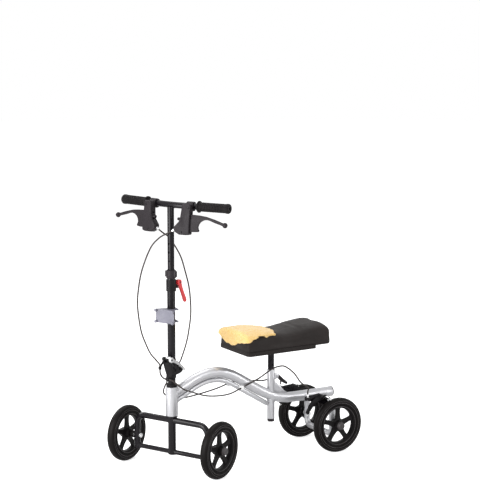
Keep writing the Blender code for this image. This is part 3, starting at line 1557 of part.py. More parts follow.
def brake_bracket_mesh():
    """Black plate from the leg forwards: carries the arm's pivot pin and the cable anchor's eye."""
    low = BRACKET_X - BRACKET_THICK / 2
    high = BRACKET_X + BRACKET_THICK / 2
    pivot_y, pivot_z = arm_pivot()
    anchor_y, anchor_z = anchor_spot()
    eye_z = anchor_z + ANCHOR_LONG * 0.30
    leg = REAR_LOOP_R + GAP
    outline = rounded(
        [
            (WHEELBASE + 0.002, REAR_LOOP_TOP - 0.040, 0),
            (WHEELBASE + 0.002, REAR_LOOP_TOP - 0.012, 0),
            (pivot_y + 0.014, pivot_z + 0.006, 0.006),
            (pivot_y - 0.004, pivot_z + 0.014, 0.008),
            (anchor_y + 0.010, eye_z + 0.010, 0.006),
            (anchor_y - 0.009, eye_z + 0.008, 0.005),
            (anchor_y - 0.009, eye_z - 0.008, 0.004),
            (anchor_y + 0.014, eye_z - 0.012, 0.008),
            (pivot_y - 0.016, pivot_z - 0.016, 0.012),
            (pivot_y + 0.014, pivot_z - 0.030, 0.012),
        ],
        2,
    )
    plate = prism(outline, low, high)
    arm_low = high + RUN
    outer = arm_low + ARM_THICK + GAP
    pin = lathe(
        [
            (ARM_PIN_R, low - 0.002),
            (ARM_PIN_R, outer),
            (ARM_PIN_R * 1.9, outer),
            (ARM_PIN_R * 1.9, outer + 0.003),
        ],
        10,
        "X",
        (0, pivot_y, pivot_z),
    )
    eye_x = arm_low + ARM_THICK / 2
    eye = cylinder(
        ANCHOR_R + 0.0035, eye_z - 0.005, eye_z + 0.005, 12, "Z", (eye_x, anchor_y, 0)
    )
    eye_hole = cylinder(
        ANCHOR_R + 2 * GAP, eye_z - 0.03, eye_z + 0.03, 10, "Z", (eye_x, anchor_y, 0)
    )
    link = box((low, anchor_y - 0.005, eye_z - 0.005), (eye_x, anchor_y + 0.005, eye_z + 0.005))
    grown = sweep(
        loop_path(REAR_LEG_X, REAR_LOOP_BOTTOM, REAR_LOOP_TOP, REAR_LOOP_BEND, y=WHEELBASE),
        REAR_LOOP_R + GAP,
        12,
        closed=True,
    )
    return carved(plate, joins=[pin, eye, link], cuts=[eye_hole, grown])


def anchor_mesh():
    """Silver cable adjuster with the bare wire below it and the nipple under the arm's fork."""
    arm_low = BRACKET_X + BRACKET_THICK / 2 + RUN
    x = arm_low + ARM_THICK / 2
    y, z = anchor_spot()
    _, end_z = arm_end()
    nipple_top = end_z - ARM_WIDTH * 0.40 - 0.0010
    profile = [
        (0.0022, nipple_top - 0.006),
        (0.0030, nipple_top - 0.005),
        (0.0030, nipple_top),
        (WIRE_R, nipple_top),
        (WIRE_R, z),
        (ANCHOR_R * 0.75, z),
        (ANCHOR_R, z + 0.002),
        (ANCHOR_R, z + ANCHOR_LONG - 0.004),
        (ANCHOR_R * 0.80, z + ANCHOR_LONG),
    ]
    return lathe(profile, 8, "Z", (x, y, 0))


def anchor_top():
    arm_low = BRACKET_X + BRACKET_THICK / 2 + RUN
    y, z = anchor_spot()
    return Vector((arm_low + ARM_THICK / 2, y, z + ANCHOR_LONG))


# Seat


def seat_post_mesh():
    top = BOARD_Z - GAP
    plate_low = top - PLATE_THICK
    tube = cylinder(SEAT_POST_R, SEAT_POST_BOTTOM, plate_low + 0.001, 16, "Z", (0, SEAT_Y, 0))
    outline = rounded(
        [
            (-PLATE_WIDE / 2, SEAT_Y - PLATE_LONG / 2, 0.008),
            (PLATE_WIDE / 2, SEAT_Y - PLATE_LONG / 2, 0.008),
            (PLATE_WIDE / 2, SEAT_Y + PLATE_LONG / 2, 0.008),
            (-PLATE_WIDE / 2, SEAT_Y + PLATE_LONG / 2, 0.008),
        ],
        2,
    )
    plate = prism(outline, plate_low, top, "Z")
    holes = []
    for i in range(SEAT_HOLES):
        spot = (0, SEAT_Y, SEAT_TUBE_TOP + 0.0170 - SEAT_HOLE_PITCH * i)
        holes.append(cylinder(SEAT_HOLE_R, -0.03, 0.03, 6, "X", spot))
    stiffener = prism(
        [
            (SEAT_Y - 0.040, plate_low + 0.001),
            (SEAT_Y + 0.040, plate_low + 0.001),
            (SEAT_Y + 0.008, plate_low - 0.022),
            (SEAT_Y - 0.008, plate_low - 0.022),
        ],
        -0.0025,
        0.0025,
    )
    return carved(tube, joins=[plate, stiffener], cuts=holes)


def pad_height(share_long):
    """Top of the pad above its base along its length: raised front and back, low in the middle."""
    dip = math.sin(math.pi * min(max((share_long - 0.18) / 0.62, 0.0), 1.0)) ** 2
    return PAD_SIDE - PAD_DIP * dip


def pad_mesh(grow=0.0, rows=16, around=20):
    """Cushion by slices along its length, with crown, drawn-in sides and two sewn channels."""
    base = BOARD_Z + BOARD_THICK + GAP
    long = PAD_BACK - PAD_FRONT
    rings = []
    for i in range(rows + 1):
        angle = math.pi * i / rows
        share = 0.5 - 0.5 * math.cos(angle)
        y = PAD_FRONT - grow + (long + 2 * grow) * share
        end = min(share, 1 - share) * long
        corner = min(end / PAD_CORNER, 1.0)
        ease = math.sqrt(max(1 - (1 - corner) ** 2, 0.0))
        waist = 1 - 0.035 * math.sin(math.pi * share) ** 2
        half = (PAD_HALF * waist - PAD_CORNER) + PAD_CORNER * (0.22 + 0.78 * ease) + grow
        channel = 0.0
        for spot in (0.36, 0.68):
            channel += math.exp(-(((share - spot) / 0.022) ** 2))
        side = pad_height(share) * (0.80 + 0.20 * ease)
        crown = PAD_CROWN * (0.25 + 0.75 * ease) - PAD_CHANNEL * channel
        ring = []
        for k in range(around):
            turn = 2 * math.pi * (k + 0.5) / around
            c, s = math.cos(turn), math.sin(turn)
            x = half * math.copysign(abs(c) ** 0.42, c)
            level = math.copysign(abs(s) ** 0.42, s)
            across = abs(x) / half
            if level > 0:
                z = base + side * 0.5 + level * (side * 0.5 + crown * (1 - across ** 2.4) + grow)
            else:
                z = base + side * 0.5 + level * (side * 0.5 + grow)
            pinch = 0.0035 * (1 - abs(level)) * math.sin(math.pi * share)
            ring.append(Vector((x - math.copysign(pinch, x), y, z)))
        rings.append(ring)
    return loft(rings)


def fleece_mesh():
    """Fleece cover over the pad's front, hanging a little over its edge in soft scallops."""
    outer = pad_mesh(FLEECE_GAP + FLEECE_THICK)
    inner = pad_mesh(FLEECE_GAP)
    base = BOARD_Z + BOARD_THICK + GAP
    rim = base + PAD_SIDE - FLEECE_DROP
    outline = []
    steps = 20
    low_y = PAD_FRONT - 0.03
    for i in range(steps + 1):
        share = i / steps
        y = low_y + (FLEECE_BACK - low_y) * share
        rise = max(0.0, (share - 0.35) / 0.65) ** 1.4 * (FLEECE_DROP - 0.014)
        z = rim + rise + FLEECE_SCALLOP * math.sin(share * math.pi * 9)
        outline.append((y, z))
    outline.append((FLEECE_BACK, base + 0.15))
    outline.append((low_y, base + 0.15))
    keep = prism(outline, -0.15, 0.15)
    return carved(outer, cuts=[inner], commons=[keep])


def board_mesh():
    outline = rounded(
        [
            (-BOARD_HALF, BOARD_FRONT, 0.020),
            (BOARD_HALF, BOARD_FRONT, 0.020),
            (BOARD_HALF, BOARD_BACK, 0.012),
            (-BOARD_HALF, BOARD_BACK, 0.012),
        ],
        4,
    )
    return prism(outline, BOARD_Z, BOARD_Z + BOARD_THICK, "Z")


def seat_lever_mesh():
    """Black cam lever behind the seat tube, pointing back and down."""
    half = SEAT_EAR_SPACE / 2 - RUN
    outline = rounded(
        [
            (-0.0060, -0.0040, 0.003),
            (-0.0040, 0.0070, 0.003),
            (0.0060, 0.0070, 0.003),
            (0.0300, -0.0150, 0.003),
            (0.0480, -0.0300, 0.003),
            (0.0440, -0.0380, 0.003),
            (0.0240, -0.0270, 0.003),
            (0.0040, -0.0070, 0.003),
        ],
        3,
    )
    blade = prism(outline, -half, half)
    bore = cylinder(0.0028 + GAP, -0.02, 0.02, 10, "X")
    return carved(blade, cuts=[bore])


def clip_mesh(side, spot, slope, route):
    """White clip: a small block on the brace tube with the cable through it."""
    x, y, z = spot
    reach = sorted((side * (BRACE_R - 0.003), side * (abs(x) + GUIDE_R)))
    block = prism(
        rounded(
            [
                (y - CLIP_LONG / 2, z - GUIDE_R, 0.001),
                (y + CLIP_LONG / 2, z - GUIDE_R + slope * CLIP_LONG, 0.001),
                (y + CLIP_LONG / 2, z + GUIDE_R + slope * CLIP_LONG, 0.001),
                (y - CLIP_LONG / 2, z + GUIDE_R, 0.001),
            ],
            2,
        ),
        reach[0],
        reach[1],
    )
    near = [point for point in route if abs(point.y - y) < 0.045]
    tube = sweep(near, CLIP_BORE_R, 10)
    brace = sweep(smooth_path(brace_points(), 0.020), BRACE_R + GAP, 10)
    spine = sweep(backbone_points(), BACKBONE_R + GAP, 16)
    return carved(block, cuts=[tube, brace, spine])


# Cable routes, as points chosen along the real runs

LEFT_TILLER_GUIDE = (-0.0258, -0.0340, 0.3710)
RIGHT_TILLER_GUIDE = (-0.0215, 0.0290, 0.3690)
LEFT_FORK_GUIDE = (0.0, -0.0215, 0.3300)
RIGHT_FORK_GUIDE = (-0.0235, 0.0030, 0.3240)
LEFT_CLIP = (0.0205, 0.2780, 0.2640)
RIGHT_CLIP = (-0.0205, 0.2400, 0.2750)


def cable_routes():
    spot, way = ferrule_line()
    mouth = tilted(*(spot + way * (FERRULE_LONG - 0.005)))
    leave = tilted(*(spot + way * (FERRULE_LONG + 0.001)))
    beyond = tilted(*(spot + way * (FERRULE_LONG + 0.007)))
    start_right = Vector((-mouth.x, mouth.y, mouth.z))
    leave_right = Vector((-leave.x, leave.y, leave.z))
    beyond_right = Vector((-beyond.x, beyond.y, beyond.z))
    lt, rt = Vector(LEFT_TILLER_GUIDE), Vector(RIGHT_TILLER_GUIDE)
    lf, rf = Vector(LEFT_FORK_GUIDE), Vector(RIGHT_FORK_GUIDE)
    up = Vector((0, 0, 1))
    across = Vector((1, 0, 0))
    back = Vector((0, 1, 0))
    left_upper = [
        mouth,
        leave,
        beyond,
        (0.0050, -0.0330, 0.8500),
        (-0.0240, -0.0360, 0.8330),
        (-0.0550, -0.0440, 0.7970),
        (-0.080, -0.060, 0.722),
        (-0.093, -0.065, 0.655),
        (-0.097, -0.067, 0.590),
        (-0.088, -0.061, 0.505),
        (-0.0720, -0.0540, 0.4550),
        (-0.0560, -0.0470, 0.4200),
        (-0.0350, -0.0385, 0.3950),
        lt + up * 0.0110,
        lt + up * 0.0060,
        lt + up * 0.0004,
    ]
    right_upper = [
        start_right,
        leave_right,
        beyond_right,
        (-0.0195, -0.0160, 0.8480),
        (-0.0190, 0.0100, 0.8330),
        (-0.014, 0.039, 0.800),
        (-0.014, 0.077, 0.752),
        (-0.018, 0.106, 0.700),
        (-0.022, 0.134, 0.640),
        (-0.025, 0.148, 0.584),
        (-0.025, 0.149, 0.528),
        (-0.0240, 0.1350, 0.4720),
        (-0.0230, 0.1210, 0.4370),
        (-0.0225, 0.1043, 0.4076),
        (-0.0220, 0.0806, 0.3740),
        (-0.0217, 0.0600, 0.3640),
        rt + back * 0.0120,
        rt + back * 0.0060,
        rt + back * 0.0004,
    ]
    left_fold = [
        lt - up * 0.0004,
        lt - up * 0.0060,
        lt - up * 0.0110,
        (-0.0250, -0.0325, 0.3490),
        (-0.0215, -0.0275, 0.3380),
        (-0.0160, -0.0225, 0.3313),
        lf - across * 0.0100,
        lf - across * 0.0060,
        lf - across * 0.0004,
    ]
    right_fold = [
        rt - back * 0.0004,
        rt - back * 0.0060,
        rt - back * 0.0110,
        (-0.0222, 0.0100, 0.3630),
        (-0.0230, 0.0045, 0.3480),
        rf + up * 0.0110,
        rf + up * 0.0060,
        rf + up * 0.0004,
    ]
    lc, rc = Vector(LEFT_CLIP), Vector(RIGHT_CLIP)
    top_left = anchor_top()
    top_right = Vector((-top_left.x, top_left.y, top_left.z))
    left_low = [
        turned(*(lf + across * 0.0004)),
        turned(*(lf + across * 0.0070)),
        turned(*(lf + Vector((0.0110, 0.0002, -0.0002)))),
        turned(*(lf + Vector((0.0180, 0.0035, -0.0035)))),
        turned(0.0275, -0.0090, 0.3160),
        (0.0420, 0.0250, 0.2960),
        (0.0440, 0.0560, 0.2830),
        (0.0420, 0.1120, 0.2620),
        (0.0380, 0.1700, 0.2530),
        (0.0300, 0.2200, 0.2520),
        lc + Vector((0.0005, -0.014, -0.0035)),
        lc + Vector((0, 0, 0.0010)),
        lc + Vector((0.0005, 0.014, 0.0065)),
        (0.0290, 0.3450, 0.2940),
        (0.0400, 0.3880, 0.3220),
        (0.0520, 0.4120, 0.3330),
        (0.0640, 0.4330, 0.3330),
        (0.0790, 0.4620, 0.3080),
        (0.0880, 0.4860, 0.2720),
        top_left + Vector((0, 0.001, 0.026)),
        top_left + up * 0.0100,
        top_left + up * 0.0006,
    ]
    right_low = [
        turned(*(rf - up * 0.0004)),
        turned(*(rf - up * 0.0060)),
        turned(*(rf - up * 0.0110)),
        turned(-0.0300, -0.0040, 0.2940),
        turned(-0.0330, -0.0040, 0.2740),
        (-0.0360, 0.0080, 0.2540),
        (-0.0340, 0.0350, 0.2440),
        (-0.0320, 0.0830, 0.2450),
        (-0.0280, 0.1500, 0.2540),
        (-0.0240, 0.2000, 0.2640),
        rc + Vector((-0.0003, -0.014, -0.0030)),
        rc + Vector((0, 0, 0.0008)),
        rc + Vector((-0.0012, 0.014, 0.0030)),
        (-0.0300, 0.2990, 0.2770),
        (-0.0380, 0.3600, 0.2690),
        (-0.0440, 0.4100, 0.2620),
        (-0.0600, 0.4650, 0.2640),
        (-0.0830, 0.4950, 0.2590),
        top_right + Vector((0, -0.001, 0.018)),
        top_right + up * 0.0080,
        top_right + up * 0.0006,
    ]
    routes = (
        ("cable_left_upper", left_upper),
        ("cable_right_upper", right_upper),
        ("cable_left_fold", left_fold),
        ("cable_right_fold", right_fold),
        ("cable_left_lower", left_low),
        ("cable_right_lower", right_low),
    )
    made = {}
    for name, points in routes:
        made[name] = thinned(smooth_path(points, CABLE_R), CABLE_SAG, CABLE_STEP)
    return made


def finishes():
    return {
        "silver": material("silver_frame", (0.68, 0.68, 0.70), 0.85, 0.32),
        "black": material("black_paint", (0.022, 0.021, 0.024), 0.2, 0.30),
        "casting": material("black_casting", (0.030, 0.029, 0.031), 0.1, 0.62),
        "plastic": material("dark_plastic", (0.055, 0.051, 0.054), 0.0, 0.55),
        "tyre": material("tyre", (0.030, 0.029, 0.030), 0.0, 0.75),
        "rim": material("rim_plastic", (0.018, 0.017, 0.018), 0.0, 0.45),
        "steel": material("bright_steel", (0.72, 0.72, 0.72), 1.0, 0.25),
        "bracket": material("grey_bracket", (0.19, 0.19, 0.23), 0.2, 0.50),
        "rubber": material("grip_rubber", (0.020, 0.020, 0.021), 0.0, 0.70),
        "red": material("red_lever", (0.70, 0.035, 0.045), 0.0, 0.35),
        "white": material("white_clip", (0.85, 0.85, 0.85), 0.0, 0.45),
        "cable": material("cable_sheath", (0.060, 0.052, 0.050), 0.0, 0.50),
        "cover": material("pad_cover", (0.022, 0.020, 0.020), 0.0, 0.60),
        "fleece": material("fleece", (0.88, 0.68, 0.30), 0.0, 0.95),
    }


def build():
    clear_scene()
    finish = finishes()
    root = empty("steering_axis_foot", None, (0, HEAD_AXIS_Y, 0))
    steer = empty("steered_frame", root, (0, 0, 0), STEER_TURN)

    node("head_tube", head_tube_mesh(), root, finish["silver"])
    node("backbone_tube", backbone_mesh(), root, finish["silver"])
    node("backbone_cap", end_cap_mesh(), root, finish["plastic"])
    node("brace_tube", brace_mesh(), root, finish["silver"])
    node("seat_tube", seat_tube_mesh(), root, finish["silver"])
    node("seat_tube_plug", seat_plug_mesh(), root, finish["plastic"])
    node("seat_gusset", gusset_mesh(), root, finish["silver"])
    node("rear_frame", rear_frame_mesh(), root, finish["silver"])
    bracket = brake_bracket_mesh()
    anchor = anchor_mesh()
    node("brake_bracket_left", bracket, root, finish["black"])
    node("brake_bracket_right", mirrored(bracket), root, finish["black"])
    node("cable_anchor_left", anchor, root, finish["steel"])
    node("cable_anchor_right", mirrored(anchor), root, finish["steel"])
    routes = cable_routes()
    left_clip = clip_mesh(1, LEFT_CLIP, 0.20, routes["cable_left_lower"])
    right_clip = clip_mesh(-1, RIGHT_CLIP, 0.12, routes["cable_right_lower"])
    node("cable_clip_left", left_clip, root, finish["white"])
    node("cable_clip_right", right_clip, root, finish["white"])

    tyre = tyre_mesh()
    rim = rim_mesh()
    build_wheels(steer, FRONT_TRACK, 0.0, ("front_left", "front_right"), tyre, rim, finish)
    build_wheels(root, REAR_TRACK, WHEELBASE, ("rear_left", "rear_right"), tyre, rim, finish)
    front_axle = axle_mesh(LOOP_HALF, LOOP_R, FRONT_TRACK / 2)
    rear_axle = axle_mesh(REAR_LEG_X, REAR_LOOP_R, REAR_TRACK / 2)
    node("axle_front_left", front_axle, steer, finish["steel"], (0, 0, WHEEL_R))
    node("axle_front_right", mirrored(front_axle), steer, finish["steel"], (0, 0, WHEEL_R))
    node("axle_rear_left", rear_axle, root, finish["steel"], (0, WHEELBASE, WHEEL_R))
    node("axle_rear_right", mirrored(rear_axle), root, finish["steel"], (0, WHEELBASE, WHEEL_R))

    pivot = (0, *arm_pivot())
    arm = about(brake_arm_mesh(), pivot)
    shoe = about(shoe_mesh(), pivot)
    node("brake_arm_left", arm, root, finish["casting"], pivot)
    node("brake_arm_right", mirrored(arm), root, finish["casting"], pivot)
    node("brake_shoe_left", shoe, root, finish["steel"], pivot)
    node("brake_shoe_right", mirrored(shoe), root, finish["steel"], pivot)

    node("front_frame", front_frame_mesh(), steer, finish["black"])
    node("fold_base", fold_base_mesh(), steer, finish["casting"])

    fold = empty("fold_axis", steer, (0, FOLD_PIN_Y, FOLD_PIN_Z))
    lift = empty("tiller_frame", fold, (0, -FOLD_PIN_Y, -FOLD_PIN_Z))
    node("fold_head", fold_head_mesh(), lift, finish["casting"])
    node("tiller_tube", tiller_tube_mesh(), lift, finish["black"])
    node("height_collar", collar_mesh(), lift, finish["plastic"])
    node("clamp_block", clamp_mesh(), lift, finish["casting"])
    node("basket_bracket", bracket_mesh(), lift, finish["bracket"])
    node("fold_lever", quick_lever_mesh(), steer, finish["steel"], (0, LATCH_PIN_Y, LATCH_PIN_Z))
    clamp_at = (0, CLAMP_PIVOT_Y, CLAMP_PIVOT_Z)
    node("clamp_lever", clamp_lever_mesh(), lift, finish["red"], clamp_at)
    node("lock_pin", lock_pin_mesh(), lift, finish["plastic"], (0, 0, PIN_Z))

    node("handlebar", handlebar_mesh(), lift, finish["black"])
    grip = grip_mesh()
    housing = housing_mesh()
    node("grip_left", grip, lift, finish["rubber"])
    node("grip_right", mirrored(grip), lift, finish["rubber"])
    node("brake_housing_left", housing, lift, finish["plastic"])
    node("brake_housing_right", mirrored(housing), lift, finish["plastic"])
    left_at = tilted(LEVER_PIVOT_X, housing_middle(), LEVER_PIVOT_Z)
    right_at = Vector((-left_at.x, left_at.y, left_at.z))
    lever = about(lever_mesh(), left_at)
    node("brake_lever_left", lever, lift, finish["plastic"], left_at)
    node("brake_lever_right", mirrored(lever), lift, finish["plastic"], right_at)

    node("seat_post", seat_post_mesh(), root, finish["black"])
    node("seat_board", board_mesh(), root, finish["plastic"])
    node("seat_cushion", pad_mesh(), root, finish["cover"], smooth=60)
    node("fleece_cover", fleece_mesh(), root, finish["fleece"], smooth=60)
    lever_at = (0, SEAT_Y + SEAT_TUBE_R + SEAT_EAR_OUT * 0.60, SEAT_EAR_Z)
    node("seat_lever", seat_lever_mesh(), root, finish["plastic"], lever_at)

    for name, points in routes.items():
        parent = root if name.endswith("lower") else lift
        cord(name, points, CABLE_R, parent, finish["cable"])


build()
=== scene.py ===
import json
import math

import bmesh
import bpy
import numpy as np
from mathutils import Matrix, Vector, noise


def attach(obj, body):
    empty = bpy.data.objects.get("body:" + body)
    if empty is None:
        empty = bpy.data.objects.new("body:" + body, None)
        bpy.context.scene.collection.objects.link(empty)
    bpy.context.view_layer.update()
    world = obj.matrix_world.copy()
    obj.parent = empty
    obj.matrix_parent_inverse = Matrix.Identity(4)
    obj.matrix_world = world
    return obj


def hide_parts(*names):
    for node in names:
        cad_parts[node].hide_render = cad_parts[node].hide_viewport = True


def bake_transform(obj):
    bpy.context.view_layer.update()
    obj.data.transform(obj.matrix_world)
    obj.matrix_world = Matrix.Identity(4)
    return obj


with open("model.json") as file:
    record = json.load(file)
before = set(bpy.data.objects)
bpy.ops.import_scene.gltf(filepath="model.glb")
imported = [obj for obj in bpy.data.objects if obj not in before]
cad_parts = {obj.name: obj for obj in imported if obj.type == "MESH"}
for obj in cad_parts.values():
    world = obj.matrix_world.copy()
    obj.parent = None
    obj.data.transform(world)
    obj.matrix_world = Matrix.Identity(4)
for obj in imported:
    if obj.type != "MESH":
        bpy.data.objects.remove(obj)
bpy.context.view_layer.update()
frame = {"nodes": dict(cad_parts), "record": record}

NODES = frame["nodes"]

# Places shared with the part
HEAD_AXIS_Y = -0.2750
STEER_TURN = math.radians(24.4)
WHEEL_R = 0.1015
FRONT_TRACK = 0.408
REAR_TRACK = 0.239
WHEELBASE = 0.627
TYRE_WIDTH = 0.030
TYRE_DEPTH = 0.0265
RIM_WIDTH = 0.026
RIM_DEPTH = 0.011
HUB_R = 0.0185
HUB_HALF = 0.0205
WHEEL_SIDES = 120
SPOKES = 5
BAR_Z = 0.9470
BAR_SETBACK = 0.0060
BAR_R = 0.0110
BAR_HALF = 0.2255
BAR_SWEEP = math.radians(7.0)
BAR_SWEEP_X = 0.0300
GRIP_R = 0.0160
GRIP_INNER = 0.1090
GRIP_FLANGE_R = 0.0205
GRIP_FLANGE_T = 0.0060
GRIP_END = BAR_HALF + 0.0050
HOUSING_TILT = math.radians(-8.0)
HOUSING_FRONT = -0.0300
HOUSING_BACK = -0.0060
FERRULE_X = 0.0420
FERRULE_Z = 0.8680
FERRULE_TURN = math.radians(30.0)
FERRULE_LONG = 0.0130
BOARD_Z = 0.3955
BOARD_THICK = 0.0068
BOARD_HALF = 0.094
BOARD_FRONT = 0.272
BOARD_BACK = 0.543
PAD_SEAM = 0.0003
PAD_BASE = BOARD_Z + BOARD_THICK + PAD_SEAM
PAD_FRONT = 0.2560
PAD_BACK = 0.6080
PAD_HALF = 0.1000
PAD_SIDE = 0.0560
PAD_DIP = 0.0120
FLEECE_BACK = 0.400
LOOP_HALF = 0.155
LOOP_TOP = 0.1790
LOOP_BOTTOM = 0.0640
LOOP_R = 0.0110
LOOP_CROSS_R = 0.0085
POST_R = 0.0140
HEAD_R = 0.022
BACKBONE_R = 0.0190
BRACE_R = 0.0090
REAR_Z = 0.1965
SEAT_Y = 0.413
SEAT_TUBE_R = 0.0140
REAR_LEG_X = REAR_TRACK / 2 - 0.0365
REAR_LOOP_R = 0.0110
REAR_LOOP_TOP = 0.1715
UPPER_R = 0.0120
HOUSING_OUT = 0.0950
LEVER_PIVOT_X = 0.0620
LEVER_PIVOT_Z = BAR_Z - 0.0430
CLAMP_AT = (0, 0.0235, 0.6730)
CLAMP_LEVER_X = 0.0161
CLAMP_LEVER_LONG = 0.0830
CLAMP_LEVER_TURN = math.radians(26.5)
SHEATH_R = 0.0027
SHEATH_STEP = 0.006
BACKBONE_START = (0, 0, 0.2710)
BACKBONE_WAY = (0, 0.0450, 0.0206)
BRACE_START = (0, 0, 0.2395)
BRACE_WAY = (0, 0.910, 0.415)
SEAT_FOOT = (0, SEAT_Y, 0.2157)
SEAT_SLOPE = (0, 1, -0.40)

TO_FRAME = Matrix.Translation((0, HEAD_AXIS_Y, 0))
TO_STEERED = TO_FRAME @ Matrix.Rotation(STEER_TURN, 4, "Z")
MIRROR = Matrix.Scale(-1, 4, (1, 0, 0))


# Camera: fitted to the wheels' outlines

CAMERA_PLACE = (5.1312, -3.1032, 1.757)
CAMERA_YAW = math.radians(31.2145)
CAMERA_DIP = math.radians(9.0589)
CAMERA_LENS = 127.895
CAMERA_SENSOR = 36.0


def make_camera():
    data = bpy.data.cameras.new("camera")
    data.sensor_fit = "HORIZONTAL"
    data.sensor_width = CAMERA_SENSOR
    data.lens = CAMERA_LENS
    data.clip_end = 100.0
    camera = bpy.data.objects.new("camera", data)
    bpy.context.scene.collection.objects.link(camera)
    camera.location = CAMERA_PLACE
    flat = math.cos(CAMERA_DIP)
    way = Vector((-math.cos(CAMERA_YAW) * flat, math.sin(CAMERA_YAW) * flat, -math.sin(CAMERA_DIP)))
    camera.rotation_mode = "QUATERNION"
    camera.rotation_quaternion = way.to_track_quat("-Z", "Y")
    bpy.context.scene.camera = camera


make_camera()


# Materials


class Surface:
    """A node material: a Principled shader with helpers for noise colour, roughness and bump."""

    def __init__(self, name, metallic=0.0, **fixed):
        self.material = bpy.data.materials.new(name)
        self.material.use_nodes = True
        self.tree = self.material.node_tree
        self.shader = self.tree.nodes["Principled BSDF"]
        self.shader.inputs["Metallic"].default_value = metallic
        for key, value in fixed.items():
            self.shader.inputs[key.replace("_", " ")].default_value = value
        self.place = self.new("ShaderNodeTexCoord").outputs["Object"]
        self.normal = None

    def new(self, kind, **settings):
        made = self.tree.nodes.new(kind)
        for key, value in settings.items():
            setattr(made, key, value)
        return made

    def link(self, source, target):
        self.tree.links.new(source, target)

    def noise(self, scale, detail=3.0, stretch=None, roughness=0.5):
        made = self.new("ShaderNodeTexNoise")
        made.inputs["Scale"].default_value = scale
        made.inputs["Detail"].default_value = detail
        made.inputs["Roughness"].default_value = roughness
        self.link(self.stretched(stretch), made.inputs["Vector"])
        return made.outputs["Fac"]

    def cells(self, scale, feature="F1"):
        made = self.new("ShaderNodeTexVoronoi", feature=feature)
        made.inputs["Scale"].default_value = scale
        self.link(self.place, made.inputs["Vector"])
        return made.outputs["Distance"]

    def stretched(self, stretch):
        if stretch is None:
            return self.place
        mapping = self.new("ShaderNodeMapping")
        mapping.inputs["Scale"].default_value = stretch
        self.link(self.place, mapping.inputs["Vector"])
        return mapping.outputs["Vector"]

    def ramp(self, source, stops):
        made = self.new("ShaderNodeValToRGB")
        bar = made.color_ramp
        while len(bar.elements) < len(stops):
            bar.elements.new(0.5)
        for element, (spot, color) in zip(bar.elements, stops):
            element.position = spot
            element.color = (*color, 1.0)
        self.link(source, made.inputs["Fac"])
        return made.outputs["Color"]

    def color(self, source):
        self.link(source, self.shader.inputs["Base Color"])

    def rough(self, low, high, scale):
        """Roughness that varies from low to high in patches."""
        made = self.new("ShaderNodeMapRange")
        made.inputs["From Min"].default_value = 0.3
        made.inputs["From Max"].default_value = 0.7
        made.inputs["To Min"].default_value = low
        made.inputs["To Max"].default_value = high
        self.link(self.noise(scale, 4.0), made.inputs["Value"])
        self.link(made.outputs["Result"], self.shader.inputs["Roughness"])

    def bump(self, source, strength, distance):
        made = self.new("ShaderNodeBump")
        made.inputs["Strength"].default_value = strength
        made.inputs["Distance"].default_value = distance
        self.link(source, made.inputs["Height"])
        if self.normal is not None:
            self.link(self.normal, made.inputs["Normal"])
        self.normal = made.outputs["Normal"]
        self.link(self.normal, self.shader.inputs["Normal"])


def tinted(color, factor):
    return tuple(min(c * factor, 1.0) for c in color)


def silver_frame():
    s = Surface("silver_paint", 0.62, Coat_Weight=0.12, Coat_Roughness=0.12, Specular_IOR_Level=0.4)
    flakes = s.noise(2600.0, 1.0)
    shades = [(0.30, (0.475, 0.475, 0.492)), (0.55, (0.52, 0.52, 0.54)), (0.80, (0.565, 0.565, 0.588))]
    s.color(s.ramp(flakes, shades))
    s.rough(0.30, 0.37, 18.0)
    s.bump(flakes, 0.02, 0.0001)
    s.bump(s.noise(60.0, 2.0), 0.03, 0.0004)
    return s.material


def plain_finish(name, base, shades, patches, rough, grain, fixed):
    """One colour in soft patches, darker to lighter, with uneven gloss and a fine grain."""
    s = Surface(name, 0.0, **fixed)
    low, high = (tinted(base, shade) for shade in shades)
    s.color(s.ramp(s.noise(*patches), [(0.35, low), (0.65, high)]))
    s.rough(*rough)
    scale, detail, strength, distance = grain
    s.bump(s.noise(scale, detail) if detail else s.cells(scale), strength, distance)
    return s.material


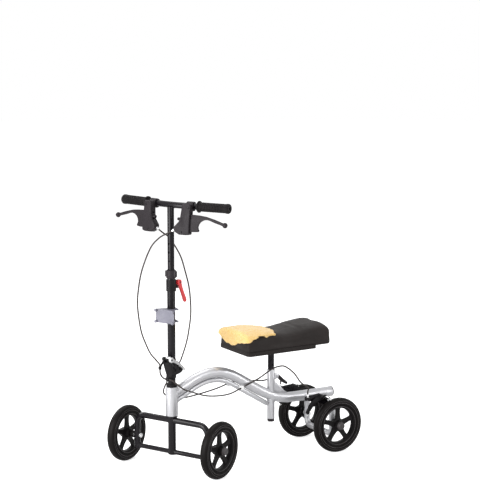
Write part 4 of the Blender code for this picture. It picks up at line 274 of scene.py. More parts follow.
# Slot: name, colour, shades, patches (scale, detail), roughness (low, high, scale),
# grain (scale, detail or 0 for cells, strength, distance) and the shader's fixed inputs
PLAIN_FINISHES = {
    "black_paint": (
        "gloss_black_paint", (0.0052, 0.0042, 0.0056), (1.0, 1.35), (9.0, 3.0), (0.22, 0.30, 22.0),
        (240.0, 3.0, 0.10, 0.0003), {"Coat_Weight": 0.16, "Coat_Roughness": 0.08, "Specular_IOR_Level": 0.14},
    ),
    "dark_plastic": (
        "moulded_plastic", (0.0195, 0.0160, 0.0185), (0.92, 1.12), (12.0, 3.0), (0.44, 0.56, 40.0),
        (1100.0, 0, 0.16, 0.00025), {"Specular_IOR_Level": 0.16},
    ),
    "rim_plastic": (
        "wheel_nylon", (0.0046, 0.0039, 0.0041), (1.0, 1.5), (20.0, 3.0), (0.34, 0.46, 30.0),
        (500.0, 3.0, 0.10, 0.0003), {"Specular_IOR_Level": 0.10},
    ),
    # A lighter grey for the wheels' ridges and hub caps: painted highlights along the ridges and on the caps
    "painted_highlight_grey": (
        "painted_highlight_grey", (0.0380, 0.0325, 0.0340), (0.85, 1.25), (20.0, 3.0), (0.26, 0.38, 40.0),
        (500.0, 2.0, 0.05, 0.0002), {"Specular_IOR_Level": 0.45},
    ),
    "grey_bracket": (
        "grey_moulding", (0.150, 0.148, 0.185), (0.92, 1.10), (25.0, 3.0), (0.40, 0.52, 50.0),
        (900.0, 3.0, 0.14, 0.00025), {},
    ),
    "red_lever": (
        "red_moulding", (0.66, 0.035, 0.040), (0.92, 1.08), (40.0, 2.0), (0.30, 0.40, 60.0),
        (500.0, 2.0, 0.06, 0.0002), {"Coat_Weight": 0.25, "Coat_Roughness": 0.12},
    ),
    "white_clip": (
        "white_moulding", (0.80, 0.80, 0.80), (1.0, 1.1), (60.0, 2.0), (0.36, 0.48, 60.0),
        (500.0, 2.0, 0.06, 0.0002), {},
    ),
    "cable_sheath": (
        "cable_sheathing", (0.0340, 0.0270, 0.0250), (0.85, 1.2), (40.0, 3.0), (0.34, 0.46, 80.0),
        (900.0, 2.0, 0.10, 0.0002), {"Specular_IOR_Level": 0.25},
    ),
}


def black_casting():
    s = Surface("cast_black", 0.0, Coat_Weight=0.05, Coat_Roughness=0.30, Specular_IOR_Level=0.12)
    base = (0.0056, 0.0050, 0.0055)
    s.color(s.ramp(s.noise(30.0, 4.0), [(0.35, base), (0.65, tinted(base, 1.6))]))
    s.rough(0.42, 0.60, 60.0)
    s.bump(s.noise(900.0, 4.0, roughness=0.7), 0.35, 0.0004)
    return s.material


def tyre_rubber():
    s = Surface("tyre_rubber", 0.0, Specular_IOR_Level=0.08)
    base = (0.0052, 0.0043, 0.0042)
    dust = s.noise(16.0, 5.0, roughness=0.65)
    s.color(s.ramp(dust, [(0.35, base), (0.62, tinted(base, 1.3)), (0.85, (0.011, 0.0098, 0.0092))]))
    s.rough(0.38, 0.50, 35.0)
    s.bump(s.noise(700.0, 4.0), 0.18, 0.0003)
    return s.material


def bright_steel():
    s = Surface("plated_steel", 1.0)
    brushed = s.noise(160.0, 4.0, stretch=(1.0, 1.0, 9.0))
    s.color(s.ramp(brushed, [(0.35, (0.66, 0.66, 0.67)), (0.65, (0.80, 0.80, 0.80))]))
    s.rough(0.16, 0.30, 90.0)
    s.bump(brushed, 0.06, 0.0002)
    return s.material


def grip_rubber():
    s = Surface("grip_rubber_soft", 0.0, Sheen_Weight=0.04, Sheen_Roughness=0.45, Specular_IOR_Level=0.12)
    base = (0.0068, 0.0058, 0.0062)
    s.color(s.ramp(s.noise(30.0, 4.0), [(0.35, base), (0.68, tinted(base, 1.6))]))
    s.rough(0.58, 0.74, 40.0)
    s.bump(s.cells(1500.0), 0.25, 0.0003)
    return s.material


def pad_cover():
    s = Surface("pad_leatherette", 0.0, Sheen_Weight=0.03, Sheen_Roughness=0.4, Specular_IOR_Level=0.16)
    base = (0.0125, 0.0098, 0.0090)
    grain = s.cells(620.0, "SMOOTH_F1")
    s.color(s.ramp(s.noise(11.0, 5.0), [(0.35, base), (0.65, tinted(base, 1.35))]))
    s.rough(0.50, 0.64, 24.0)
    s.bump(grain, 0.30, 0.0004)
    s.bump(s.noise(45.0, 3.0), 0.12, 0.0010)
    return s.material


def fleece():
    s = Surface("cream_fleece", 0.0, Sheen_Weight=0.5, Sheen_Roughness=0.5)
    curls = s.noise(240.0, 5.0, roughness=0.65)
    s.color(s.ramp(curls, [(0.30, (0.65, 0.39, 0.10)), (0.50, (0.76, 0.50, 0.165)), (0.72, (0.84, 0.62, 0.27))]))
    s.rough(0.86, 0.98, 60.0)
    s.bump(curls, 0.8, 0.0015)
    s.bump(s.noise(900.0, 3.0), 0.5, 0.0005)
    return s.material


MATERIALS = {slot: plain_finish(*finish) for slot, finish in PLAIN_FINISHES.items()}
MATERIALS |= {
    "silver_frame": silver_frame(),
    "black_casting": black_casting(),
    "tyre": tyre_rubber(),
    "bright_steel": bright_steel(),
    "grip_rubber": grip_rubber(),
    "pad_cover": pad_cover(),
    "fleece": fleece(),
}


# Mesh helpers


def unit(value):
    return min(max(value, 0.0), 1.0)


def eased(share):
    return share * share * (3 - 2 * share)


def rounded(value, power):
    """A sine or cosine drawn towards a square's."""
    return math.copysign(abs(value) ** power, value)


def mesh_of(bm):
    bmesh.ops.recalc_face_normals(bm, faces=bm.faces)
    mesh = bpy.data.meshes.new("shape")
    bm.to_mesh(mesh)
    bm.free()
    return mesh


def loft(rings, closed=False):
    """A skin over rings of points, closed into a loop or capped at its ends."""
    bm = bmesh.new()
    rows = [[bm.verts.new(p) for p in ring] for ring in rings]
    count = len(rows[0])
    pairs = list(zip(rows, rows[1:]))
    if closed:
        pairs.append((rows[-1], rows[0]))
    for first, second in pairs:
        for i in range(count):
            j = (i + 1) % count
            bm.faces.new((first[i], first[j], second[j], second[i]))
    if not closed:
        bm.faces.new(rows[0])
        bm.faces.new(rows[-1])
    return mesh_of(bm)


def lathe(profile, sides, middle=(0, 0, 0)):
    """Turns a closed outline of (radius, x) points about the X axis."""
    rings = []
    for i in range(sides):
        turn = 2 * math.pi * i / sides
        c, s = math.cos(turn), math.sin(turn)
        rings.append([Vector((x, r * c, r * s)) + Vector(middle) for r, x in profile])
    return loft(rings, closed=True)


def both_sides(side):
    """A closed outline from its half on the side of +X."""
    return side + [(r, -x) for r, x in reversed(side)]


def joined(*meshes):
    bm = bmesh.new()
    for mesh in meshes:
        bm.from_mesh(mesh)
    return mesh_of(bm)


def moved(mesh, matrix):
    copy = mesh.copy()
    copy.transform(matrix)
    if matrix.determinant() < 0:
        copy.flip_normals()
    return copy


def smooth_path(points, step):
    """Even points along a smooth curve through a route's own points."""
    points = [Vector(p) for p in points]
    ends = [points[0] * 2 - points[1]] + points + [points[-1] * 2 - points[-2]]
    fine = []
    for i in range(1, len(ends) - 2):
        p0, p1, p2, p3 = ends[i - 1], ends[i], ends[i + 1], ends[i + 2]
        for k in range(24):
            t = k / 24
            b = (p2 - p0) * t
            c = (2 * p0 - 5 * p1 + 4 * p2 - p3) * t * t
            d = (3 * p1 - p0 - 3 * p2 + p3) * t ** 3
            fine.append((2 * p1 + b + c + d) / 2)
    fine.append(points[-1])
    lengths = [0.0]
    for first, second in zip(fine, fine[1:]):
        lengths.append(lengths[-1] + (second - first).length)
    count = max(3, round(lengths[-1] / step) + 1)
    wanted = np.linspace(0, lengths[-1], count)
    columns = [np.interp(wanted, lengths, [p[i] for p in fine]) for i in range(3)]
    return [Vector(p) for p in zip(*columns)]


def tube(points, radius, sides=12, closed=False):
    """A round tube along a path, its rings carried along without twist."""
    points = [Vector(p) for p in points]
    count = len(points)
    ways = []
    for i in range(count):
        after = points[(i + 1) % count] if closed or i < count - 1 else points[i]
        before = points[i - 1] if closed or i > 0 else points[i]
        ways.append((after - before).normalized())
    normal = ways[0].orthogonal().normalized()
    rings = []
    for i, (point, way) in enumerate(zip(points, ways)):
        normal = (normal - way * normal.dot(way)).normalized()
        other = way.cross(normal)
        r = radius(i / (count - 1)) if callable(radius) else radius
        ring = []
        for k in range(sides):
            turn = 2 * math.pi * k / sides
            ring.append(point + (normal * math.cos(turn) + other * math.sin(turn)) * r)
        rings.append(ring)
    return loft(rings, closed)


def piece(name, mesh, slot, body=None, matrix=None, angle=40.0, replaces=()):
    """A visible piece with its finish, riding on a body where one is named."""
    obj = bpy.data.objects.new(name, mesh)
    bpy.context.scene.collection.objects.link(obj)
    mesh.materials.clear()
    mesh.materials.append(MATERIALS[slot])
    mesh.shade_smooth()
    mesh.set_sharp_from_angle(angle=math.radians(angle))
    if matrix is not None:
        obj.matrix_world = matrix
    if body:
        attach(obj, body)
    if replaces:
        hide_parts(*replaces)
    return obj


# CAD nodes keep their shapes and get their finish


WELD_GAP = 0.00002
EDGE_WIDTH = 0.0004
EDGE_ANGLE = math.radians(40.0)


def dress_nodes():
    slots = {entry["node"]: entry["material_slot"] for entry in frame["record"]["subparts"]}
    for name, obj in NODES.items():
        mesh = obj.data
        mesh.materials.clear()
        mesh.materials.append(MATERIALS[slots[name]])
        if "custom_normal" in mesh.attributes:
            mesh.attributes.remove(mesh.attributes["custom_normal"])
        mesh.shade_smooth()
        weld = obj.modifiers.new("weld", "WELD")
        weld.merge_threshold = WELD_GAP
        smooth = obj.modifiers.new("edges", "BEVEL")
        smooth.width = EDGE_WIDTH
        smooth.segments = 2
        smooth.limit_method = "ANGLE"
        smooth.angle_limit = EDGE_ANGLE
        smooth.harden_normals = False
        smooth.use_clamp_overlap = True


dress_nodes()


# Wheels


# The tyre's side from its seat to the tread: (height over the seat, distance from the middle)
TYRE_SIDE = (
    (0.0, 0.0098), (0.0022, 0.0112), (0.0046, 0.0121), (0.0056, 0.0116), (0.0066, 0.0126), (0.0074, 0.0131),
    (0.0080, 0.0143), (0.0088, 0.0145), (0.0096, 0.0139),
)
TREAD_HIGH = 0.0130
TREAD_GROOVES = (-0.0048, 0.0048)
GROOVE = 0.0007


def tyre_mesh():
    inner = WHEEL_R - TYRE_DEPTH
    profile = [(inner + up, -out) for up, out in TYRE_SIDE]
    steps = 22
    for i in range(1, steps):
        turn = math.pi * (i / steps - 0.5)
        x = TYRE_WIDTH / 2 * rounded(math.sin(turn), 0.90)
        r = WHEEL_R - TREAD_HIGH + TREAD_HIGH * abs(math.cos(turn)) ** 0.80
        for spot in TREAD_GROOVES:
            r -= GROOVE * math.exp(-(((x - spot) / GROOVE) ** 2))
        profile.append((r, x))
    profile += [(inner + up, out) for up, out in reversed(TYRE_SIDE)]
    return lathe(profile, WHEEL_SIDES)


def spoke_mesh(low, high):
    """A moulded spoke with flared ends and a shallow channel down each face."""
    rings = []
    steps = 14
    for i in range(steps + 1):
        share = i / steps
        radius = low + (high - low) * share
        flare_in = math.exp(-share * 7.0)
        flare_out = math.exp(-(1 - share) * 9.0)
        wide = 0.0075 + 0.0022 * (1 - share) + 0.0070 * flare_in + 0.0065 * flare_out
        deep = 0.0056 - 0.0006 * share + 0.0014 * flare_in + 0.0016 * flare_out
        channel = 0.0016 * math.sin(math.pi * unit((share - 0.10) / 0.80))
        ring = []
        for k in range(28):
            turn = 2 * math.pi * k / 28
            c, s = math.cos(turn), math.sin(turn)
            y = wide * rounded(c, 0.35)
            x = deep * rounded(s, 0.35)
            inward = max(0.0, 1 - (abs(y) / (wide * 0.62)) ** 4)
            x -= math.copysign(channel * inward, x)
            ring.append(Vector((x, y, radius)))
        rings.append(ring)
    return loft(rings)


def rim_mesh():
    outer = WHEEL_R - TYRE_DEPTH - 0.0003
    inner = outer - RIM_DEPTH
    half = RIM_WIDTH / 2
    ring = [
        (outer, half * 0.78),
        (outer - 0.0022, half * 0.97),
        (outer - 0.0038, half * 1.02),
        (outer - 0.0056, half * 0.98),
        (outer - 0.0066, half * 0.86),
        (outer - 0.0092, half * 0.78),
        (inner + 0.0006, half * 0.66),
        (inner, half * 0.50),
    ]
    hub = [
        (HUB_R, 0.0085),
        (HUB_R - 0.0004, HUB_HALF - 0.0060),
        (HUB_R - 0.0012, HUB_HALF - 0.0012),
        (HUB_R - 0.0030, HUB_HALF),
        (0.0125, HUB_HALF),
        (0.0115, HUB_HALF - 0.0015),
        (0.0050, HUB_HALF - 0.0015),
    ]
    parts = [lathe(both_sides(ring), WHEEL_SIDES), lathe(both_sides(hub), 48)]
    spoke = spoke_mesh(HUB_R - 0.0035, inner + 0.0022)
    for i in range(SPOKES):
        parts.append(moved(spoke, Matrix.Rotation(2 * math.pi * i / SPOKES, 4, "X")))
    return joined(*parts)


# Height over the tyre's seat, distance from the middle, thickness: bead, sidewall line, rim's lip
RIDGES = (
    (0.0088, 0.0144, 0.0008), (0.0158, 0.0151, 0.0005), (-0.0041, RIM_WIDTH * 0.51 - 0.0004, 0.0009),
)


def ridge_mesh():
    """Thin raised ridges on both faces of a wheel; they take a lighter grey as painted highlights."""
    parts = []
    for up, out, thick in RIDGES:
        radius = WHEEL_R - TYRE_DEPTH + up
        for side in (1, -1):
            profile = []
            for k in range(10):
                turn = 2 * math.pi * k / 10
                profile.append((radius + thick * math.cos(turn), side * out + thick * math.sin(turn)))
            parts.append(lathe(profile, WHEEL_SIDES))
    return joined(*parts)


# The cap's outline: (radius, height over the hub's face)
CAP = (
    (0.0126, 0.0001), (0.0150, 0.0001), (0.0150, 0.0012), (0.0139, 0.0024), (0.0131, 0.0072), (0.0118, 0.0090),
    (0.0094, 0.0098), (0.0086, 0.0091), (0.0064, 0.0091), (0.0057, 0.0099), (0.0012, 0.0102), (0.0012, 0.0089),
    (0.0092, 0.0085), (0.0094, 0.0024), (0.0126, 0.0022),
)


def cap_mesh():
    """Hub cap over the axle's end: a stepped dome on a flange, open at its middle."""
    return lathe([(r, HUB_HALF + up) for r, up in CAP], 48)


def sleeve_mesh(low, high):
    """Spacer on the axle between the frame and the hub."""
    profile = [(0.0107, low), (0.0118, low + 0.0002), (0.0121, low + 0.0010)]
    profile += [(0.0121, high - 0.0010), (0.0118, high - 0.0002), (0.0107, high)]
    return lathe(profile, 40)


def build_wheels():
    tyre, rim, cap, ridge = tyre_mesh(), rim_mesh(), cap_mesh(), ridge_mesh()
    front_axle = TO_STEERED @ Matrix.Translation((0, 0, WHEEL_R))
    rear_axle = TO_FRAME @ Matrix.Translation((0, WHEELBASE, WHEEL_R))
    ends = (
        ("front", "fork", FRONT_TRACK / 2, LOOP_HALF + LOOP_R, front_axle),
        ("rear", "frame", REAR_TRACK / 2, REAR_LEG_X + REAR_LOOP_R, rear_axle),
    )
    sides = (("left", 1, Matrix.Identity(4)), ("right", -1, MIRROR))
    corners = [(*end, *side) for side in sides for end in ends]
    for end, carrier, out, leg, axle, word, _, way in corners:
        sleeve = moved(sleeve_mesh(leg + 0.0006, out - HUB_HALF - 0.0008), way)
        piece(f"hub_sleeve_{end}_{word}", sleeve, "rim_plastic", carrier, axle)
    for end, _, out, _, axle, word, sign, way in corners:
        tag = f"{end}_{word}"
        body = "wheel_" + tag
        place = axle @ Matrix.Translation((sign * out, 0, 0))
        # Caps and ridges take the lighter grey: painted highlights on the caps and along the ridges
        piece("hub_cap_" + tag, moved(cap, way), "painted_highlight_grey", body, place, 30.0)
        piece("wheel_ridges_" + tag, ridge.copy(), "painted_highlight_grey", body, place, 60.0)
        piece("tyre_tread_" + tag, tyre.copy(), "tyre", body, place, 50.0, ("tyre_" + tag,))
        piece("spoked_rim_" + tag, rim.copy(), "rim_plastic", body, place, 38.0, ("rim_" + tag,))


build_wheels()


# Grips


# One rib of the grip along its pitch: (share, height)
RIB = ((0.0, 0.0), (0.12, -0.0009), (0.42, -0.0009), (0.54, 0.0), (0.66, 0.0003), (0.90, 0.0003))
RIBS = 15


def grip_mesh():
    profile = [
        (BAR_R + 0.0004, GRIP_INNER),
        (GRIP_FLANGE_R - 0.0012, GRIP_INNER),
        (GRIP_FLANGE_R, GRIP_INNER + 0.0012),
        (GRIP_FLANGE_R, GRIP_INNER + GRIP_FLANGE_T - 0.0014),
        (GRIP_FLANGE_R - 0.0016, GRIP_INNER + GRIP_FLANGE_T),
        (GRIP_R + 0.0005, GRIP_INNER + GRIP_FLANGE_T + 0.0016),
        (GRIP_R, GRIP_INNER + GRIP_FLANGE_T + 0.0040),
    ]
    first = GRIP_INNER + GRIP_FLANGE_T + 0.0070
    last = GRIP_END - 0.0170
    pitch = (last - first) / RIBS
    for i in range(RIBS):
        at = first + pitch * i
        for share, lift in RIB:
            profile.append((GRIP_R + lift, at + pitch * share))
    profile += [
        (GRIP_R, last + 0.0020),
        (GRIP_R + 0.0012, last + 0.0050),
        (GRIP_R + 0.0012, GRIP_END - 0.0040),
        (GRIP_R - 0.0010, GRIP_END - 0.0008),
        (GRIP_R - 0.0040, GRIP_END),
        (GRIP_R - 0.0055, GRIP_END - 0.0010),
        (0.0040, GRIP_END - 0.0010),
        (0.0040, BAR_HALF + 0.0006),
        (BAR_R + 0.0004, BAR_HALF + 0.0006),
    ]
    return lathe(profile, 64, middle=(0, BAR_SETBACK, BAR_Z))


def turn_about(spot, angle, axis):
    low = Matrix.Translation([-value for value in spot])
    return Matrix.Translation(spot) @ Matrix.Rotation(angle, 4, axis) @ low


def sweep_turn():
    """The turn of the bar's left end about its bend."""
    return turn_about((BAR_SWEEP_X, BAR_SETBACK, BAR_Z), BAR_SWEEP, "Z")


def build_grips():
    mesh = moved(grip_mesh(), sweep_turn())
    for word, way in (("left", TO_STEERED), ("right", TO_STEERED @ MIRROR)):
        grip = moved(mesh, way)
        piece("ribbed_grip_" + word, grip, "grip_rubber", "handlebar", angle=35.0, replaces=("grip_" + word,))


build_grips()


# Cables


def tilted(x, y, z):
    """A point of the brake housing's own upright drawing, tilted and turned as on the bar."""
    tilt = turn_about((0, BAR_SETBACK, BAR_Z), HOUSING_TILT, "X")
    return sweep_turn() @ tilt @ Vector((x, y, z))


def ferrule_spot(along):
    """A point on the left ferrule's axis, in the steered frame."""
    middle = (HOUSING_FRONT + HOUSING_BACK) / 2
    x, z = FERRULE_X - along * math.cos(FERRULE_TURN), FERRULE_Z - along * math.sin(FERRULE_TURN)
    return tilted(x, middle, z)


# Guides, clips and the cables' lower ends, as on the part
LEFT_TILLER_GUIDE = (-0.0258, -0.0340, 0.3710)
RIGHT_TILLER_GUIDE = (-0.0215, 0.0290, 0.3690)
LEFT_FORK_GUIDE = (0.0, -0.0215, 0.3300)
RIGHT_FORK_GUIDE = (-0.0235, 0.0030, 0.3240)
LEFT_CLIP = (0.0205, 0.2780, 0.2640)
RIGHT_CLIP = (-0.0205, 0.2400, 0.2750)
ANCHOR_TOP = (0.09200, 0.51375, 0.22473)


def turned(x, y, z):
    """A point of the steered assembly in the main frame's coordinates."""
    c, s = math.cos(STEER_TURN), math.sin(STEER_TURN)
    return Vector((c * x - s * y, s * x + c * y, z))


def mirrored(point):
    return Vector((-point.x, point.y, point.z))


def along(point, way, *distances):
    return [point + way * far for far in distances]


def cable_routes():
    """The part's own routes: the first four in the steered frame, the last two in the main frame."""
    mouth = [ferrule_spot(FERRULE_LONG + far) for far in (-0.005, 0.001, 0.007)]
    lt, rt = Vector(LEFT_TILLER_GUIDE), Vector(RIGHT_TILLER_GUIDE)
    lf, rf = Vector(LEFT_FORK_GUIDE), Vector(RIGHT_FORK_GUIDE)
    up = Vector((0, 0, 1))
    across = Vector((1, 0, 0))
    back = Vector((0, 1, 0))
    left_upper = [
        *mouth,
        (0.0050, -0.0330, 0.8500),
        (-0.0240, -0.0360, 0.8330),
        (-0.0550, -0.0440, 0.7970),
        (-0.080, -0.060, 0.722),
        (-0.093, -0.065, 0.655),
        (-0.097, -0.067, 0.590),
        (-0.088, -0.061, 0.505),
        (-0.0720, -0.0540, 0.4550),
        (-0.0560, -0.0470, 0.4200),
        (-0.0350, -0.0385, 0.3950),
        *along(lt, up, 0.0110, 0.0060, 0.0004),
    ]
    right_upper = [
        *(mirrored(point) for point in mouth),
        (-0.0195, -0.0160, 0.8480),
        (-0.0190, 0.0100, 0.8330),
        (-0.014, 0.039, 0.800),
        (-0.014, 0.077, 0.752),
        (-0.018, 0.106, 0.700),
        (-0.022, 0.134, 0.640),
        (-0.025, 0.148, 0.584),
        (-0.025, 0.149, 0.528),
        (-0.0240, 0.1350, 0.4720),
        (-0.0230, 0.1210, 0.4370),
        (-0.0225, 0.1043, 0.4076),
        (-0.0220, 0.0806, 0.3740),
        (-0.0217, 0.0600, 0.3640),
        *along(rt, back, 0.0120, 0.0060, 0.0004),
    ]
    left_fold = [
        *along(lt, up, -0.0004, -0.0060, -0.0110),
        (-0.0250, -0.0325, 0.3490),
        (-0.0215, -0.0275, 0.3380),
        (-0.0160, -0.0225, 0.3313),
        *along(lf, across, -0.0100, -0.0060, -0.0004),
    ]
    right_fold = [
        *along(rt, back, -0.0004, -0.0060, -0.0110),
        (-0.0222, 0.0100, 0.3630),
        (-0.0230, 0.0045, 0.3480),
        *along(rf, up, 0.0110, 0.0060, 0.0004),
    ]
    lc, rc = Vector(LEFT_CLIP), Vector(RIGHT_CLIP)
    top_left = Vector(ANCHOR_TOP)
    top_right = mirrored(top_left)
    left_low = [
        *(turned(*point) for point in along(lf, across, 0.0004, 0.0070)),
        turned(*(lf + Vector((0.0110, 0.0002, -0.0002)))),
        turned(*(lf + Vector((0.0180, 0.0035, -0.0035)))),
        turned(0.0275, -0.0090, 0.3160),
        (0.0420, 0.0250, 0.2960),
        (0.0440, 0.0560, 0.2830),
        (0.0420, 0.1120, 0.2620),
        (0.0380, 0.1700, 0.2530),
        (0.0300, 0.2200, 0.2520),
        lc + Vector((0.0005, -0.014, -0.0035)),
        lc + Vector((0, 0, 0.0010)),
        lc + Vector((0.0005, 0.014, 0.0065)),
        (0.0290, 0.3450, 0.2940),
        (0.0400, 0.3880, 0.3220),
        (0.0520, 0.4120, 0.3330),
        (0.0640, 0.4330, 0.3330),
        (0.0790, 0.4620, 0.3080),
        (0.0880, 0.4860, 0.2720),
        top_left + Vector((0, 0.001, 0.026)),
        *along(top_left, up, 0.0100, 0.0006),
    ]
    right_low = [
        *(turned(*point) for point in along(rf, up, -0.0004, -0.0060, -0.0110)),
        turned(-0.0300, -0.0040, 0.2940),
        turned(-0.0330, -0.0040, 0.2740),
        (-0.0360, 0.0080, 0.2540),
        (-0.0340, 0.0350, 0.2440),
        (-0.0320, 0.0830, 0.2450),
        (-0.0280, 0.1500, 0.2540),
        (-0.0240, 0.2000, 0.2640),
        rc + Vector((-0.0003, -0.014, -0.0030)),
        rc + Vector((0, 0, 0.0008)),
        rc + Vector((-0.0012, 0.014, 0.0030)),
        (-0.0300, 0.2990, 0.2770),
        (-0.0380, 0.3600, 0.2690),
        (-0.0440, 0.4100, 0.2620),
        (-0.0600, 0.4650, 0.2640),
        (-0.0830, 0.4950, 0.2590),
        top_right + Vector((0, -0.001, 0.018)),
        *along(top_right, up, 0.0080, 0.0006),
    ]
    return {
        "cable_left_upper": left_upper,
        "cable_right_upper": right_upper,
        "cable_left_fold": left_fold,
        "cable_right_fold": right_fold,
        "cable_left_lower": left_low,
        "cable_right_lower": right_low,
    }


def build_cables():
    """Each stretch becomes a sheathed tube along its route, baked into place in place of the part's cable."""
    routes = cable_routes()
    spans = {
        "upper": ("handlebar", "tiller", (0, 0, 0.865), (0, 0, 0.425), TO_STEERED),
        "fold": ("tiller", "fork", (0, 0, 0.368), (0, 0, 0.332), TO_STEERED),
        "lower": ("fork", "frame", (0, 0.03, 0.30), (0, 0.24, 0.26), TO_FRAME),
    }
    for side in ("left", "right"):
        for stretch, (one, two, start, end, place) in spans.items():
            name = f"cable_{side}_{stretch}"
            mesh = moved(tube(smooth_path(routes[name], SHEATH_STEP), SHEATH_R, 14), place)
            obj = piece("sheathed_" + name, mesh, "cable_sheath", replaces=(name,))
            place @ Vector(start)
            place @ Vector(end)
            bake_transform(obj)


build_cables()


# Welds, screws, cable adjusters and the red lever


def saddle(start, way, radius, base, axis, base_radius, count=56):
    """Points where a tube that runs along way meets another tube; short of that tube, none."""
    way, axis = Vector(way).normalized(), Vector(axis).normalized()
    across = way.orthogonal().normalized()
    other = way.cross(across)
    level = way - axis * way.dot(axis)
    points = []
    for i in range(count):
        turn = 2 * math.pi * i / count
        spot = Vector(start) + (across * math.cos(turn) + other * math.sin(turn)) * radius
        off = spot - Vector(base)
        off -= axis * off.dot(axis)
        a, b, c = level.dot(level), 2 * off.dot(level), off.dot(off) - base_radius ** 2
        inside = b * b - 4 * a * c
        points.append(spot + way * ((-b + math.sqrt(inside)) / (2 * a)) if inside > 0 else None)
    return points


def weld_bead(points, bead=0.0016):
    """A rippled bead round a joint, or along the part of it that exists."""
    whole = all(p is not None for p in points)
    if not whole:
        first = next(i for i, p in enumerate(points) if p is None)
        points = [p for p in points[first:] + points[:first] if p is not None]
    fine = []
    count = len(points)
    for i in range(count if whole else count - 1):
        for k in range(4):
            fine.append(points[i].lerp(points[(i + 1) % count], k / 4))
    ripples = max(6, round(len(fine) / 5))

    def swell(share):
        return bead * (0.86 + 0.20 * abs(math.sin(math.pi * ripples * share)))

    return tube(fine, swell, 8, closed=whole)


def build_welds():
    up, side = (0, 0, 1), (1, 0, 0)
    front = []
    for sign in (1, -1):
        top, cross, leg = (0, 0, LOOP_TOP), (0, 0, LOOP_BOTTOM), (sign * LOOP_HALF, 0, LOOP_BOTTOM)
        front.append(weld_bead(saddle(top, (sign, 0, 0), LOOP_R, top, up, POST_R)))
        front.append(weld_bead(saddle(cross, (sign, 0, 0), LOOP_CROSS_R, cross, up, POST_R)))
        front.append(weld_bead(saddle(leg, (-sign, 0, 0), LOOP_CROSS_R, leg, up, LOOP_R)))
    piece("front_weld_beads", joined(*front), "black_paint", "fork", TO_STEERED, 60.0)
    main = [
        weld_bead(saddle(BACKBONE_START, BACKBONE_WAY, BACKBONE_R, (0, 0, 0), up, HEAD_R), 0.0020),
        weld_bead(saddle(BRACE_START, BRACE_WAY, BRACE_R, (0, 0, 0), up, HEAD_R)),
        weld_bead(saddle(SEAT_FOOT, up, SEAT_TUBE_R, SEAT_FOOT, SEAT_SLOPE, BACKBONE_R), 0.0018),
        weld_bead(saddle(SEAT_FOOT, (0, 0, -1), SEAT_TUBE_R, SEAT_FOOT, SEAT_SLOPE, BACKBONE_R), 0.0018),
    ]
    for sign in (1, -1):
        bar = (0, WHEELBASE, REAR_LOOP_TOP)
        main.append(weld_bead(saddle(bar, (sign, 0, 0), REAR_LOOP_R, (0, 0, REAR_Z), (0, 1, 0), BACKBONE_R)))
    piece("frame_weld_beads", joined(*main), "silver_frame", "frame", TO_FRAME, 60.0)
    bar = (0, BAR_SETBACK, BAR_Z)
    tee = weld_bead(saddle((0, 0, BAR_Z), (0, 0, -1), UPPER_R, bar, side, BAR_R), 0.0015)
    piece("bar_weld_bead", tee, "black_paint", "handlebar", TO_STEERED, 60.0)


def spindle(start, way, stations, sides=24):
    """A turned part along way: (distance, radius) stations, flat at both ends."""
    start, way = Vector(start), Vector(way).normalized()
    across = way.orthogonal().normalized()
    other = way.cross(across)
    rings = []
    for far, radius in stations:
        ring = []
        for k in range(sides):
            turn = 2 * math.pi * (k + 0.5) / sides
            ring.append(start + way * far + (across * math.cos(turn) + other * math.sin(turn)) * radius)
        rings.append(ring)
    return loft(rings)


# Turned parts: (distance, radius)
SCREW = ((-0.0010, 0.0038), (0.0010, 0.0040), (0.0020, 0.0034), (0.0024, 0.0024), (0.0024, 0.0017), (0.0008, 0.0015))
ADJUSTER = (
    (0.0000, 0.0042), (0.0006, 0.0052), (0.0058, 0.0052), (0.0064, 0.0044), (0.0066, 0.0037), (0.0110, 0.0037),
    (0.0114, 0.0033),
)


def build_bar_details():
    root, tip = ferrule_spot(FERRULE_LONG - 0.0030), ferrule_spot(FERRULE_LONG + 0.0100)
    adjuster = spindle(root, tip - root, ADJUSTER, 18)
    screws = []
    for x, z in ((HOUSING_OUT - 0.0080, BAR_Z - 0.0060), (LEVER_PIVOT_X + 0.0030, LEVER_PIVOT_Z - 0.0480)):
        spot, ahead = tilted(x, HOUSING_FRONT, z), tilted(x, HOUSING_FRONT - 0.01, z)
        screws.append(spindle(spot, ahead - spot, SCREW))
    head = joined(*screws)
    for word, way in (("left", TO_STEERED), ("right", TO_STEERED @ MIRROR)):
        piece("cable_adjuster_" + word, moved(adjuster, way), "bright_steel", "handlebar", angle=20.0)
        piece("housing_screws_" + word, moved(head, way), "black_paint", "handlebar", angle=30.0)


# The red lever's blade: (distance from its pivot, half width, half depth)
BLADE = (
    (0.000, 0.0090, 0.0056), (0.012, 0.0082, 0.0056), (0.024, 0.0068, 0.0052), (0.042, 0.0064, 0.0048),
    (0.060, 0.0070, 0.0048), (0.072, 0.0076, 0.0050), (0.079, 0.0068, 0.0046), (0.0825, 0.0048, 0.0034),
    (0.0838, 0.0020, 0.0016),
)


